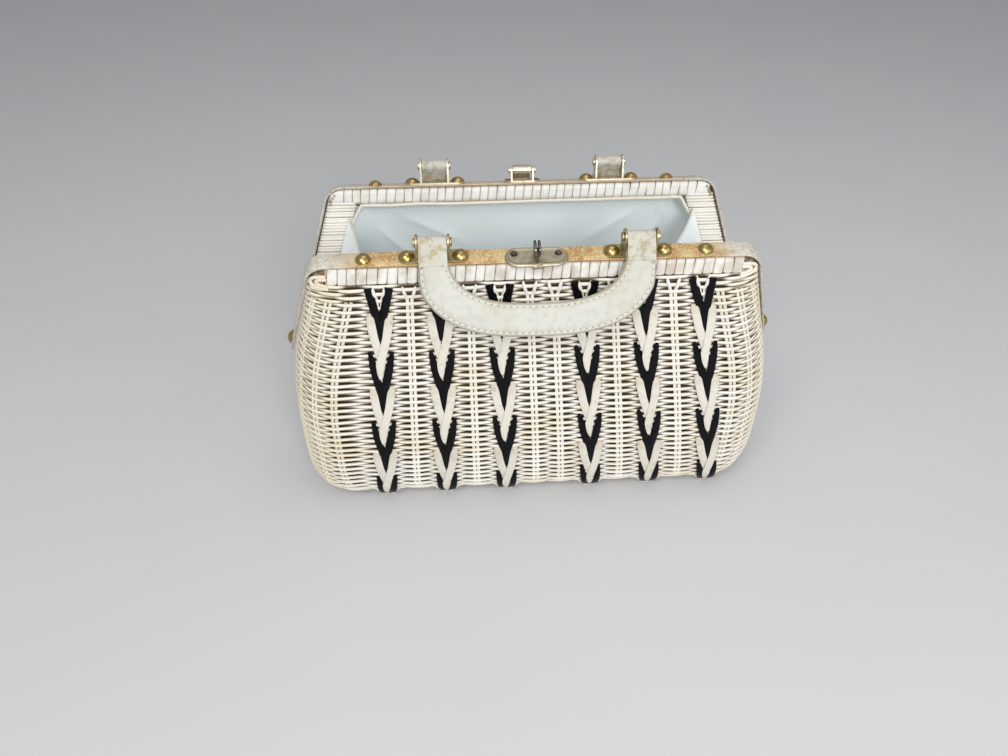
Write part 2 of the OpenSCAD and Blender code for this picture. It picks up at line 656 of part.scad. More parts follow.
// Gusset: a thin pleat between the two linings at one side of the bag, folded inwards
gusset_rows = 5;
fold_share = 0.3;
gusset_low_share = 0.16;
function gusset_rim(i) = let(z = shell_top * (1 - (1 - gusset_low_share) * i / gusset_rows))
  [half_w(z) - lining_side - clear, z];
function gusset_point(place, i, f, in) = let(p = gusset_rim(i),
  reach = p.y * sin(open_angle) - clear, y = reach * f,
  x = p.x - fold_share * reach * (1 - abs(f)) - in)
  [place * x, place * y, hinge_h + p.y * cos(open_angle) - rim_gap];
module gusset(place) {
  folds = [-1, 0, 1];
  function grid(in) = [for (i = [0 : gusset_rows], f = folds) gusset_point(place, i, f, in)];
  color("azure") sheet(grid(0), grid(lining_t), first(gusset_rows + 1), len(folds));
}

module front_shell() { shell(1); }
module front_rail() { rail(1, clasp_nail_x); }
module front_binding() { binding(1, clasp_nail_x); }
module front_strip() { strip(1, clasp_nail_x); }
module front_black_ribbon() { braids(1, 0, "black"); }
module front_white_ribbon() { braids(1, 1, "whitesmoke"); }
module front_strip_nails() { strip_nails(1); }
module front_bracket_left() { bracket(1, -1); }
module front_bracket_right() { bracket(1, 1); }
module front_bracket_nails() { bracket_nail_set(1); }
module front_handle_pins() { handle_pins(1); }
module front_handle() { handle(1); }
module front_lining() { lining(1); }
module front_piping() { piping(1); }
module front_hinge_loops() { hinge_loops(1); }
module rear_shell() { shell(-1); }
module rear_rail() { rail(-1, hasp_nail_x); }
module rear_binding() { binding(-1, hasp_nail_x); }
module rear_strip() { strip(-1, hasp_nail_x); }
module rear_black_ribbon() { braids(-1, 0, "black"); }
module rear_white_ribbon() { braids(-1, 1, "whitesmoke"); }
module rear_strip_nails() { strip_nails(-1); }
module rear_bracket_left() { bracket(-1, -1); }
module rear_bracket_right() { bracket(-1, 1); }
module rear_bracket_nails() { bracket_nail_set(-1); }
module rear_handle_pins() { handle_pins(-1); }
module rear_handle() { handle(-1); }
module rear_lining() { lining(-1); }
module rear_piping() { piping(-1); }
module rear_hinge_loops() { hinge_loops(-1); }
module left_gusset() { gusset(-1); }
module right_gusset() { gusset(1); }

front_shell();
front_rail();
front_binding();
front_strip();
front_black_ribbon();
front_white_ribbon();
front_strip_nails();
front_bracket_left();
front_bracket_right();
front_bracket_nails();
front_handle_pins();
front_handle();
clasp_plate();
clasp_nails();
turn_knob();
front_lining();
front_piping();
front_hinge_loops();
rear_shell();
rear_rail();
rear_binding();
rear_strip();
rear_black_ribbon();
rear_white_ribbon();
rear_strip_nails();
rear_bracket_left();
rear_bracket_right();
rear_bracket_nails();
rear_handle_pins();
rear_handle();
hasp_bracket();
hasp_nails();
hasp_pin();
hasp();
rear_lining();
rear_piping();
rear_hinge_loops();
hinge_rod();
left_gusset();
right_gusset();
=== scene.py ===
# %% [markdown]
# # A wicker clamshell handbag
# The bag is two woven halves that open like a shell on a bottom seam. The solid model already fixes
# every size, so this lesson dresses it: reeds, ribbons, leather, metal and vinyl. Solids whose shape is
# right keep their place and get a finish; soft or woven ones are replaced by real strands and sheets.

# %% The fixed frame
import math

import bmesh
import bpy
import numpy as np
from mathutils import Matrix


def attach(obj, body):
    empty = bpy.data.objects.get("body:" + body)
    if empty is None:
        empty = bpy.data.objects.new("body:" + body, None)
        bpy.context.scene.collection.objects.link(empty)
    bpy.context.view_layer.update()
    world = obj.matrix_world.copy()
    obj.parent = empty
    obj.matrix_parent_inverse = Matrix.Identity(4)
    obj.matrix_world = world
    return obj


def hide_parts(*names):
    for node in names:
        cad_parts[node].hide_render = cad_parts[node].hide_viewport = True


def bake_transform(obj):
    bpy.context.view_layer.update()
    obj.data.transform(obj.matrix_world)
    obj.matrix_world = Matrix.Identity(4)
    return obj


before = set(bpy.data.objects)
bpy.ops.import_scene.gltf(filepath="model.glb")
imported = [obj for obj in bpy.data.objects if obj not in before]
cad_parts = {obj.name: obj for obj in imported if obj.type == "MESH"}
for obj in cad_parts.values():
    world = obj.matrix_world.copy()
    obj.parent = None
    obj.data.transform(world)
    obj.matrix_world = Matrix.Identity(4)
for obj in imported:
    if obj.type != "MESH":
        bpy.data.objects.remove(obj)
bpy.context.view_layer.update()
MM, SEED = 0.001, 7
rng = np.random.default_rng(SEED)

# %% [markdown]
# ## Camera and studio
# The camera stands where the photograph was taken from: in front, a little to the left, looking down
# at about 38 degrees with a wide lens. The floor is plain and pale. Large soft lamps keep the shadows
# soft, and their level is low enough for a colour to render about as it is written.

# %% Camera
CAMERA_AT, TILT, PAN = (-0.04175, -0.4260, 0.38056), 51.54, -3.57
SENSOR_MM, FOCAL_PX, PHOTO_PX = 36, 755.74, 1008
scene = bpy.context.scene
scene.view_settings.view_transform = "Standard"
camera = bpy.data.objects.new("camera", bpy.data.cameras.new("camera"))
scene.collection.objects.link(camera)
camera.location = CAMERA_AT
camera.rotation_euler = (math.radians(TILT), 0, math.radians(PAN))
camera.data.sensor_width = SENSOR_MM
camera.data.lens = FOCAL_PX * SENSOR_MM / PHOTO_PX
camera.data.clip_start = 0.01
scene.camera = camera
print("lens", round(camera.data.lens, 2), "mm")

# %% Lamps and sky
SKY_COLOUR, SKY_LEVEL = (0.9, 0.92, 0.95, 1), 0.40


def lamp(name, place, aim, size, watts, colour=(1, 1, 1)):
    """A square soft lamp at a place, turned to a point."""
    light = bpy.data.lights.new(name, "AREA")
    light.size, light.energy, light.color = size, watts, colour
    piece = bpy.data.objects.new(name, light)
    scene.collection.objects.link(piece)
    piece.location = place
    away = np.array(place) - np.array(aim)
    piece.rotation_euler = (math.atan2(math.hypot(away[0], away[1]), away[2]), 0,
                            math.atan2(away[0], -away[1]))


lamp("key_lamp", (-0.45, -0.85, 1.25), (0, 0, 0.08), 0.6, 6.6, (1, 0.985, 0.96))
lamp("front_lamp", (0.2, -1.24, 0.76), (0, 0.05, 0.12), 0.45, 9.6)
lamp("fill_lamp", (0.95, -0.75, 0.75), (0, 0, 0.08), 0.9, 2.4, (0.96, 0.98, 1))
lamp("top_lamp", (0.1, 0.1, 1.35), (0, 0.04, 0.12), 0.8, 2.0)
sky = bpy.data.worlds.new("studio")
scene.world = sky
sky.use_nodes = True
sky.node_tree.nodes["Background"].inputs["Color"].default_value = SKY_COLOUR
sky.node_tree.nodes["Background"].inputs["Strength"].default_value = SKY_LEVEL

# %% [markdown]
# ## Finishes as sums
# A finish is a small network of shader nodes. Wiring nodes by hand is hard to read, so one class wraps
# a socket and lets plain sums make the Math nodes. Any other node comes from its `node` method: the
# node's kind, its settings first, then the values or links of its sockets.

# %% A socket that takes part in sums


class Signal:
    """A shader socket that can stand in a sum."""

    def __init__(self, tree, socket=None):
        self.tree, self.socket = tree, socket

    def node(self, kind, settings=(), sockets=(), out=0):
        made = self.tree.nodes.new(kind)
        for name, value in dict(settings).items():
            setattr(made, name, value)
        for name, value in dict(sockets).items():
            if isinstance(value, Signal):
                self.tree.links.new(value.socket, made.inputs[name])
            else:
                made.inputs[name].default_value = value
        return Signal(self.tree, made.outputs[out])

    def maths(self, operation, other=0.0):
        return self.node("ShaderNodeMath", {"operation": operation}, {0: self, 1: other})

    def __add__(self, other):
        return self.maths("ADD", other)

    def __mul__(self, other):
        return self.maths("MULTIPLY", other)

    def __abs__(self):
        return self.maths("ABSOLUTE")

    __radd__, __rmul__ = __add__, __mul__

    def step(self, low, high):
        """0 below low, 1 above high, smooth between; low may be the larger one."""
        return self.node("ShaderNodeMapRange", {"interpolation_type": "SMOOTHSTEP"},
                         {"Value": self, "From Min": low, "From Max": high})

    def blend(self, first, second):
        """The first colour where this is 0, the second where it is 1."""
        first, second = (c if isinstance(c, Signal) else (*c, 1) for c in (first, second))
        return self.node("ShaderNodeMix", {"data_type": "RGBA"}, {0: self, 6: first, 7: second}, 2)


def methods(kind):
    return [name for name in vars(kind) if not name.startswith("_")]


print("a socket has +, *, abs and", methods(Signal))

# %% The start of every finish


class Finish(Signal):
    """A material with its Principled shader, a place on the surface, and noise at a given grain."""

    def __init__(self, name, **constants):
        self.material = bpy.data.materials.new(name)
        self.material.use_nodes = True
        super().__init__(self.material.node_tree)
        self.shader = self.tree.nodes["Principled BSDF"]
        for socket, value in constants.items():
            self.shader.inputs[socket.replace("_", " ")].default_value = value
        self.place = self.node("ShaderNodeTexCoord", out="Object")

    def noise(self, grain_mm, detail=3.0, stretch=(1, 1, 1), rough=0.55):
        """Noise with features of about grain_mm, longer along an axis whose stretch is below 1."""
        where = self.node("ShaderNodeMapping", {}, {"Vector": self.place, "Scale": stretch})
        return self.node("ShaderNodeTexNoise", {}, {
            "Vector": where, "Scale": 1000 / grain_mm, "Detail": detail, "Roughness": rough})

    def own(self, name):
        """A number that the mesh itself carries at each point."""
        return self.node("ShaderNodeAttribute", {"attribute_name": name}, {}, "Fac")

    def axis(self, name):
        return self.node("ShaderNodeSeparateXYZ", {}, {0: self.place}, name)

    def front(self, edge, rear):
        """1 on the front half, which was handled more, and a smaller share at the rear."""
        return self.axis("Y").step(edge, -edge) * (1 - rear) + rear

    def feed(self, height=None, depth_mm=0.1, **sockets):
        for socket, value in sockets.items():
            self.tree.links.new(value.socket, self.shader.inputs[socket.replace("_", " ")])
        if height is not None:
            bump = self.node("ShaderNodeBump", {}, {"Height": height, "Distance": depth_mm * MM})
            self.tree.links.new(bump.socket, self.shader.inputs["Normal"])
        print("finish", self.material.name, len(self.tree.nodes), "nodes")
        return self.material


print("a finish also has", methods(Finish))

# %% [markdown]
# ## The floor
# A real studio floor is never one flat value, so it gets a trace of unevenness.

# %% Floor
FLOOR_SIZE, FLOOR_CELLS, FLOOR_Z = 14, 8, -0.0002
bpy.ops.mesh.primitive_grid_add(x_subdivisions=FLOOR_CELLS, y_subdivisions=FLOOR_CELLS, size=FLOOR_SIZE)
floor = bpy.context.object
floor.name = "floor"
floor.location.z = FLOOR_Z
paper = Finish("floor_paper", Roughness=0.85)
floor.data.materials.append(paper.feed(
    Base_Color=paper.noise(180, 2).blend((0.60, 0.60, 0.61), (0.635, 0.635, 0.64))))
print("floor", tuple(floor.dimensions))

# %% [markdown]
# ## The shape of a half
# Every woven or sewn piece follows the wall of a half, so the wall is written once, as a function of a
# distance `s` down the wall and a distance `along` sideways. The numbers repeat the solid model's, in
# millimetres. A half is drawn upright with its rim on the closing plane, then leaned by 15 degrees.

# %% Sizes of a half
HALVES = {1: "front", -1: "rear"}
OPEN, RIM = math.radians(15), 0.3
BODY_W, JAW_W, JAW_H, JAW_D, JAW_R = 299.0, 264.0, 168.0, 12.0, 13.0
WALL, RELIEF, SEAT, RAIL_BACK = 2.4, 0.7, 0.1, 1.2
CORNER_R, CORNER_SHARE, EDGE_R, BELLY_R = 25.0, 0.75, 16.0, 204.0
TOE, LEAN, SLOPE = (math.radians(a) for a in (8, 10.7, 18))
KEEL, CORNER_H, CORNER_W, WAIST_BLEND = 25.0, 38.0, 32.0, 8.0
STRIP_T, STRIP_END, BAND_H, SEEN_BAND = 1.6, 98.0, 11.0, 9.5
RAIL_OUT = JAW_D - RAIL_BACK - SEAT
SIDE_C = (JAW_W / 2 - JAW_R) * math.cos(SLOPE) + (JAW_H - JAW_R) * math.sin(SLOPE) + JAW_R
STRIP_SEAT = STRIP_T + RELIEF + SEAT
SHELL_TOP = JAW_H - STRIP_T - BAND_H - 2 * SEAT
DROP, SEAM_EDGE, SEAM_TAPER, LOWEST = WALL - SEAT, 4.55, 6.0, 0.05
HINGE_H = KEEL * math.sin(OPEN) + DROP * math.cos(OPEN)
EDGE_TURN, FACE_TURN = math.pi / 2 - TOE + OPEN, math.pi / 2 + LEAN + OPEN
print("shell top", round(SHELL_TOP, 1), "mm above the hinge, hinge", round(HINGE_H, 1), "mm above the floor")

# %% The wall from top to seam: face, belly, bottom edge, base and keel


def heading(h):
    return np.array([math.cos(h), math.sin(h)])


def out_of(h):
    return np.array([math.sin(h), -math.cos(h)])


TOP = np.array([JAW_D + (JAW_H - SHELL_TOP) * math.tan(LEAN + OPEN), SHELL_TOP])
KEEL_POINT = np.array([KEEL, -DROP])
span = TOP - KEEL_POINT - EDGE_R * (out_of(EDGE_TURN) - out_of(OPEN)) \
    - BELLY_R * (out_of(FACE_TURN) - out_of(EDGE_TURN))
shear = math.sin(FACE_TURN - OPEN)
BASE_L = (span[0] * math.sin(FACE_TURN) - span[1] * math.cos(FACE_TURN)) / shear
FACE_L = (span[1] * math.cos(OPEN) - span[0] * math.sin(OPEN)) / shear
EDGE_S = FACE_L + BELLY_R * (FACE_TURN - EDGE_TURN)
WOVEN_L = EDGE_S + EDGE_R * (EDGE_TURN - OPEN)
KEEL_S = WOVEN_L + BASE_L
WALL_L = KEEL_S + KEEL - SEAM_EDGE
BELLY_MID = TOP - FACE_L * heading(FACE_TURN) - BELLY_R * out_of(FACE_TURN)
EDGE_MID = BELLY_MID + (BELLY_R - EDGE_R) * out_of(EDGE_TURN)
BASE_END = EDGE_MID + EDGE_R * out_of(OPEN)
print("wall length", round(WALL_L, 1), "of which woven face", round(WOVEN_L, 1))

# %% The wall's profile
TINY = 1e-9


def share(value, full):
    """A value as a share of its full size, kept between 0 and 1."""
    return np.clip(value / full, 0, 1)


def ease(t):
    return t * t * (3 - 2 * t)


def unit(v):
    return v / (np.linalg.norm(v, axis=-1, keepdims=True) + TINY)


def profile(s):
    """Depth, height and heading of the wall at s below its top."""
    s = np.asarray(s, float)
    turn = np.interp(s, [0, FACE_L, EDGE_S, WOVEN_L], [FACE_TURN, FACE_TURN, EDGE_TURN, OPEN])
    turn = np.where(s > KEEL_S, 0.0, turn)
    lead = np.stack([np.sin(turn), -np.cos(turn)], -1)
    down = s[..., None]
    at = TOP - down * heading(FACE_TURN)
    at = np.where(down > FACE_L, BELLY_MID + BELLY_R * lead, at)
    at = np.where(down > EDGE_S, EDGE_MID + EDGE_R * lead, at)
    at = np.where(down > WOVEN_L, BASE_END - (down - WOVEN_L) * heading(OPEN), at)
    at = np.where(down > KEEL_S, KEEL_POINT - (down - KEEL_S) * heading(0), at)
    return at[..., 0], at[..., 1], turn


print("depth and height at the bottom edge", *(round(float(v), 1) for v in profile(EDGE_S)[:2]))

# %% Level lines of the wall


def under(z):
    return share(CORNER_H - z, CORNER_H + DROP)


def side_x(z, inset):
    return (SIDE_C - inset - z * math.sin(SLOPE)) / math.cos(SLOPE)


def half_width(z):
    a, b, k = side_x(z, STRIP_SEAT), BODY_W / 2, WAIST_BLEND
    soft = np.minimum(a, b) - np.maximum(k - np.abs(a - b), 0) ** 2 / (4 * k)
    return soft - CORNER_W * (1 - np.sqrt(1 - under(z) ** 2))


def corner_depth(d, z):
    return np.minimum(CORNER_R, np.where(z > STRIP_END, d - RAIL_OUT - SEAT, CORNER_SHARE * d))


def plan(s, side_in=0.0):
    """Depth, height and heading of a level line of the wall, its corner radii, its flat and its bow."""
    d, z, turn = profile(s)
    w = half_width(z) - side_in - SEAM_TAPER * share(s - KEEL_S, KEEL - SEAM_EDGE)
    rx, ry = np.minimum(CORNER_R, CORNER_SHARE * w), corner_depth(d, z)
    bow = math.pi / 2 * np.sqrt((rx ** 2 + ry ** 2) / 2)
    return d, z, turn, rx, ry, w - rx, bow


def reach(s, side_in=0.0):
    """How far a level line runs sideways until it meets the rim."""
    d, *_, ry, flat, bow = plan(np.asarray(s, float), side_in)
    return flat + bow + np.maximum(d - ry - RIM, 0)


def flat_of(s, side_in=0.0):
    """How far a level line runs sideways before its corner starts."""
    return float(plan(s, side_in)[5])


print("a level line runs", round(float(reach(EDGE_S)), 1), "mm to each side at the bottom edge")

# %% Points of the wall


def wall_point(s, along, out, side_in=0.0):
    """Points (x, depth, height) of the wall and the directions that lead out of it there."""
    s, along, out = np.broadcast_arrays(np.asarray(s, float), along, out)
    d, z, turn, rx, ry, flat, bow = plan(s, side_in)
    side, a = np.where(along < 0, -1.0, 1.0), np.abs(along)
    bend = share(a - flat, bow) * math.pi / 2
    x = np.where(a < flat, a, flat + rx * np.sin(bend))
    depth = d - ry + ry * np.cos(bend) - np.maximum(a - flat - bow, 0)
    u = under(z)
    v = unit(np.stack([np.sin(bend) * np.sqrt(1 - u ** 2), np.cos(bend) * np.sin(turn),
                       -np.cos(bend) * np.cos(turn) - np.sin(bend) * u], -1))
    v[..., 0] *= side
    return np.stack([side * x, np.maximum(depth, RIM), z], -1) + out[..., None] * v, v


def to_world(p, side):
    """Half frame to the bag's frame, in metres: side 1 is the front, -1 the rear."""
    away = p[..., 1] * math.cos(OPEN) + p[..., 2] * math.sin(OPEN)
    up = np.maximum(HINGE_H - p[..., 1] * math.sin(OPEN) + p[..., 2] * math.cos(OPEN), LOWEST)
    return np.stack([p[..., 0], -side * away, up], -1) * MM


base_at = to_world(wall_point(WOVEN_L + 5, 0.0, 0.0)[0], 1)
print("widest", round(2 * float(half_width(90.0)), 1), "mm; base at", base_at[2].round(5), "m")

# %% [markdown]
# ## Meshes from strands
# Reeds, ribbons, stitches and piping are all strands: a small outline carried along a path. One helper
# carries an outline along a path and gathers all strands in one mesh, together with the numbers
# that the finish reads at each point. Doing it with arrays keeps hundreds of strands quick.

# %% Strands


class Strands:
    """Collects grids of points into one mesh. Each grid is rows of closed or open outlines."""

    def __init__(self):
        self.points, self.faces, self.own, self.count = [], [], {}, 0

    def grid(self, points, closed=True, caps=True, **own):
        rows, cols = points.shape[:2]
        base = self.count
        i, j = np.meshgrid(np.arange(rows - 1), np.arange(cols if closed else cols - 1), indexing="ij")
        k = (j + 1) % cols
        quads = np.stack([i * cols + j, i * cols + k, (i + 1) * cols + k, (i + 1) * cols + j], -1)
        self.faces += (base + quads.reshape(-1, 4)).tolist()
        if closed and caps:
            self.faces.append([base + c for c in range(cols - 1, -1, -1)])
            self.faces.append([base + (rows - 1) * cols + c for c in range(cols)])
        self.points.append(points.reshape(-1, 3))
        for name, value in own.items():
            self.own.setdefault(name, []).append(np.broadcast_to(value, (rows, cols)).ravel())
        self.count += rows * cols

    def tube(self, path, normal, radius, sides=6, **own):
        """A round strand. A number of its own may be a function of how far a point lies out."""
        tangent = unit(np.gradient(path, axis=0))
        normal = unit(normal - np.sum(normal * tangent, 1, keepdims=True) * tangent)
        across = np.cross(tangent, normal)
        angle = (np.arange(sides) * 2 * math.pi / sides)[None, :, None]
        r = np.broadcast_to(radius, (len(path),))[:, None, None]
        ring = path[:, None] + r * (np.cos(angle) * normal[:, None] + np.sin(angle) * across[:, None])
        lift = (r * np.cos(angle))[..., 0]
        self.grid(ring, **{k: (v(lift) if callable(v) else v) for k, v in own.items()})

    def piece(self, name, body, finish, slot, replaced=(), side=0, ride=True):
        """One mesh of all grids. They are drawn in the frame of the half on a side, or (0) of the bag."""
        points = np.concatenate(self.points)
        mesh = bpy.data.meshes.new(name)
        mesh.from_pydata((to_world(points, side) if side else points * MM).tolist(), [], self.faces)
        for key, values in self.own.items():
            layer = mesh.attributes.new(key, "FLOAT", "POINT")
            layer.data.foreach_set("value", np.concatenate(values).astype(np.float32))
        return dress(mesh, name, body, finish, replaced, ride)

    def on_half(self, side, kind, finish, slot, solid=None, body="half"):
        """A piece of the front or rear half, which may stand for a solid of that half."""
        half = HALVES[side] + "_"
        return self.piece(half + kind, half + body, finish, slot, [half + solid] if solid else (), side)


print("strands have", methods(Strands))

# %% Dressing a mesh
SMOOTH = 40


def dress(mesh, name, body, finish, replaced=(), ride=True, smooth=SMOOTH):
    """Turns a mesh into a piece of the bag: faces outward, smooth, with a finish, on a body."""
    form = bmesh.new()
    form.from_mesh(mesh)
    bmesh.ops.recalc_face_normals(form, faces=form.faces)
    form.to_mesh(mesh)
    form.free()
    mesh.polygons.foreach_set("use_smooth", [True] * len(mesh.polygons))
    mesh.set_sharp_from_angle(angle=math.radians(smooth))
    mesh.materials.append(finish)
    piece = bpy.data.objects.new(name, mesh)
    scene.collection.objects.link(piece)
    if ride:
        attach(piece, body)
    if replaced:
        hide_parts(*replaced)
    print(name, len(mesh.polygons), "faces on", body)
    return piece


def waver(n, knots, size):
    """A slow random wander of n values, with a given number of knots."""
    return np.interp(np.linspace(0, 1, n), np.linspace(0, 1, knots), rng.normal(0, size, knots))


print("edges of up to", SMOOTH, "degrees are shaded smooth")

# %% [markdown]
# ## Painted reed
# The reeds were sprayed white and have yellowed. Paint is thin on the crests, and the hollows are
# painted brown as shade. Each strand carries two numbers: `tone`, its own tint, and `hollow`, how deep a
# point lies in the weave. The finish mixes cream, yellow and brown from these and from fine streaks of noise.

# %% Reed finish
REED_PALE, REED_WARM, REED_SHADE_BROWN = (0.83, 0.81, 0.75), (0.75, 0.655, 0.48), (0.13, 0.085, 0.045)
reed = Finish("painted_reed", Roughness=0.5)
cloud, speck = reed.noise(38, 4), reed.noise(1.6, 3, (0.25, 1, 1))
# The side walls, the left one more, are painted warmer and darker as shade; cloud and tone give the real
# yellowing.
sides = reed.axis("X").step(-0.095, -0.146) * 0.5 + reed.axis("X").step(0.110, 0.146) * 0.2
warmth = (cloud.step(0.44, 0.68) * 0.45 + reed.own("tone") * 0.3 + sides) * reed.front(0.03, 0.4)
# Painted shade: a reed turns brown where it lies deep in the weave, as the shade there.
hollow_shade = reed.own("hollow").step(0.08, 0.5) * (0.75 + cloud * 0.5)
worn = speck.step(0.66, 0.8) * 0.3
painted = hollow_shade.blend(warmth.blend(REED_PALE, REED_WARM), REED_SHADE_BROWN)
reed_white = reed.feed(Base_Color=worn.blend(painted, REED_WARM), Roughness=0.38 + speck * 0.3,
                       height=speck, depth_mm=0.12)

# %% [markdown]
# ## Weaving a half
# Upright stakes stand in pairs, one pair about every 20 mm. Level reeds pass in front of one pair and
# behind the next, and the row below does the opposite. So a row is a level line of the wall whose
# distance from the mid wall swings once per stake. Rows end at the rim and turn round the side rail.
# A flat sheet with bump would fake this; real strands give the gaps, the shadows and the outline.

# %% Where stakes stand
STAKE_PITCH, STAKE_OFFSET, TAPER, DRIFT, TOP_DRIFT = 19.75, 0.42, 0.135, 10.0, 0.3
FACE_STAKES = STAKE_PITCH * (np.arange(6) + STAKE_OFFSET)
CORNER_STAKES = 4


def column_x(x, s):
    """Hand weaving: columns stand closer towards the top and drift to one side on their way down."""
    return x * (1 - TAPER * (1 - s / EDGE_S)) + DRIFT * (TOP_DRIFT + (1 - TOP_DRIFT) * s / EDGE_S)


def stake_places(s):
    """Sideways places of all stakes at s, from left to right: across the face, round each corner."""
    flat, bow, end = flat_of(s), float(plan(s)[6]), float(reach(s))
    face = np.concatenate([-FACE_STAKES[::-1], FACE_STAKES])
    face = column_x(face, s) if s < EDGE_S else (face + DRIFT) * flat / flat_of(EDGE_S)
    turn = flat + bow * np.arange(CORNER_STAKES) / (CORNER_STAKES - 1)
    turn = np.append(turn, (flat + bow + end) / 2)
    return np.concatenate([-turn[::-1], face, turn])


print(len(stake_places(EDGE_S)), "pairs of stakes in each half")

# %% The path of a row
ROW_AIM, REED_R = 2.15, 1.02
ROW_PITCH = EDGE_S / round(EDGE_S / ROW_AIM)
ROWS = round(WOVEN_L / ROW_PITCH)
BASE_OUT, BASE_SWING, FACE_OUT, FACE_SWING = -1.45, 0.3, 0.25, 0.95
CORNER_CALM, CALM_FROM, CALM_OVER, RIM_OVER, RIM_OUT, TURN_OUT = 0.6, 2, 8, 10, -1.3, -0.4
FLAT_FROM, FLAT_OVER, SQUARE = 5, 18, 0.8
ROW_SAMPLES, ROW_KNOTS, ROW_WANDER = 176, 24, 0.16


def flatness(s):
    """1 on the face, 0 on the base, where the reeds are pressed level for standing."""
    return ease(share(WOVEN_L - FLAT_FROM - s, FLAT_OVER))


def row_path(s, parity, samples=ROW_SAMPLES):
    """A level reed at s: its points, the directions that lead out, and how far out it lies."""
    end = float(reach(s))
    along = np.linspace(-end, end, samples)
    places = stake_places(s)
    swing = np.cos(math.pi * np.interp(along, places, np.arange(len(places)) + parity))
    swing = np.sign(swing) * np.abs(swing) ** SQUARE
    f = float(flatness(s))
    corner = share(np.abs(along) - flat_of(s) - CALM_FROM, CALM_OVER)
    out = BASE_OUT + FACE_OUT * f + (BASE_SWING + FACE_SWING * f) * (1 - CORNER_CALM * corner) * swing
    calm = share(end - np.abs(along), RIM_OVER)
    out = out * calm + RIM_OUT * (1 - calm)
    drift = s + waver(samples, ROW_KNOTS, ROW_WANDER)
    points, normal = wall_point(np.minimum(drift, WALL_L), along, out)
    return points, normal, out


print(ROWS, "rows,", round(ROW_PITCH, 2), "mm apart")

# %% Row ends


def rim_turn(w, z, side):
    """The end of a row: round the rim, across the side rail, and tucked in behind it."""
    wide = float(np.interp(z, [20, 60, 100, 150], [4.0, 9.0, 13.0, 17.0]))
    spots = np.array([[w - 0.7, 1.35, z], [w - 2.2, 1.0, z], [w - wide / 2, 0.98, z],
                      [w - wide + 1.5, 1.0, z], [w - wide, 2.2, z], [w - wide, 5.5, z]])
    leads = np.array([[0.8, -0.6, 0], [0.3, -0.95, 0], [0, -1, 0], [-0.3, -0.95, 0], [-0.9, -0.4, 0],
                      [-1, 0, 0]])
    return (spots + [0, RIM, 0]) * [side, 1, 1], leads * [side, 1, 1]


def turn_ends(points, normal, out):
    """Each end of a row goes round the rim, in place of its last point."""
    z = float(points[0, 2])
    for end in (-1, 1):
        spots, leads = rim_turn(abs(points[::end][-1, 0]), z, end)
        added = spots, leads, np.full(len(spots), TURN_OUT)
        points, normal, out = (np.concatenate([row[::end][:-1], more])[::end]
                               for row, more in zip((points, normal, out), added))
    return points, normal, out


print("a turn has", len(rim_turn(BODY_W / 2, STRIP_END, 1)[0]), "points")

# %% Rows of the face and the base
TURN_Z, BASE_SAMPLES, SHORT_BY, BASE_SPREAD = 14, 110, 14, 1.12
CREST, HOLLOW, BASE_CREST, BASE_HOLLOW = 0.15, 3.2, -0.4, 3


def hollow_of(out, crest, deep):
    """How deep each point of a strand lies in the weave: 0 at the crest, 1 at `deep` below it."""
    return lambda lift: share(crest - np.asarray(out)[..., None] - lift, deep)


def weave_half(side):
    """Rows down to the bottom edge stand for the shell; wider set ones fill the base."""
    rows, base = Strands(), Strands()
    for i in range(-1, ROWS):
        strand = row_path(i * ROW_PITCH, i % 2)
        if strand[0][0, 2] > TURN_Z:
            strand = turn_ends(*strand)
        points, normal, out = strand
        rows.tube(points, normal, REED_R * rng.uniform(0.93, 1.05), tone=rng.uniform(0, 1),
                  hollow=hollow_of(out, CREST, HOLLOW))
    rows.on_half(side, "weavers", reed_white, "wicker", "shell")
    for i, s in enumerate(np.arange(WOVEN_L + 0.6 * ROW_PITCH, WALL_L - 0.8, BASE_SPREAD * ROW_PITCH)):
        points, normal, out = row_path(float(s), i % 2, BASE_SAMPLES)
        short = slice(SHORT_BY, -SHORT_BY) if i % 2 else slice(None)
        base.tube(points[short], normal[short], REED_R, tone=rng.uniform(0, 1),
                  hollow=hollow_of(out[short], BASE_CREST, BASE_HOLLOW))
    base.on_half(side, "base_weavers", reed_white, "wicker")


for side in HALVES:
    weave_half(side)

# %% [markdown]
# The stakes run down between the rows from the binding to the seam. At the top the two reeds of a pair
# part like a Y, rise over the lower edge of the binding and end there, cut to a point. A few more rows
# close the corners above the binding's lower edge, up to the strip, and two loops lie over them.

# %% Stakes and corner rows
STAKE_R, STAKE_HALF = 0.95, 1.3
PRONG, SPREAD, PRONG_OUT, TIP, FULL = 4.2, 2.6, 1.3, 0.4, 1.12
FORK_S, FORK_L, CLIMB_S, CLIMB_L = 6.5, 9.5, 6.0, 4.5
FACE_DEEP, CORNER_DEEP, CORNER_START, FEWEST = -0.85, -1.6, 7.0, 12
CORNER_ROWS, ARCH_R, CORNER_FROM, CORNER_OUT = (-2.1, -4.2, -6.3, -8.2), 10.9, 15, -1.1
LOOP_S, LOOP_H, LOOP_FROM, LOOP_W, LOOP_OUT, LOOP_R = -4.6, 3.7, 11, 11.5, 0.15, 1.05


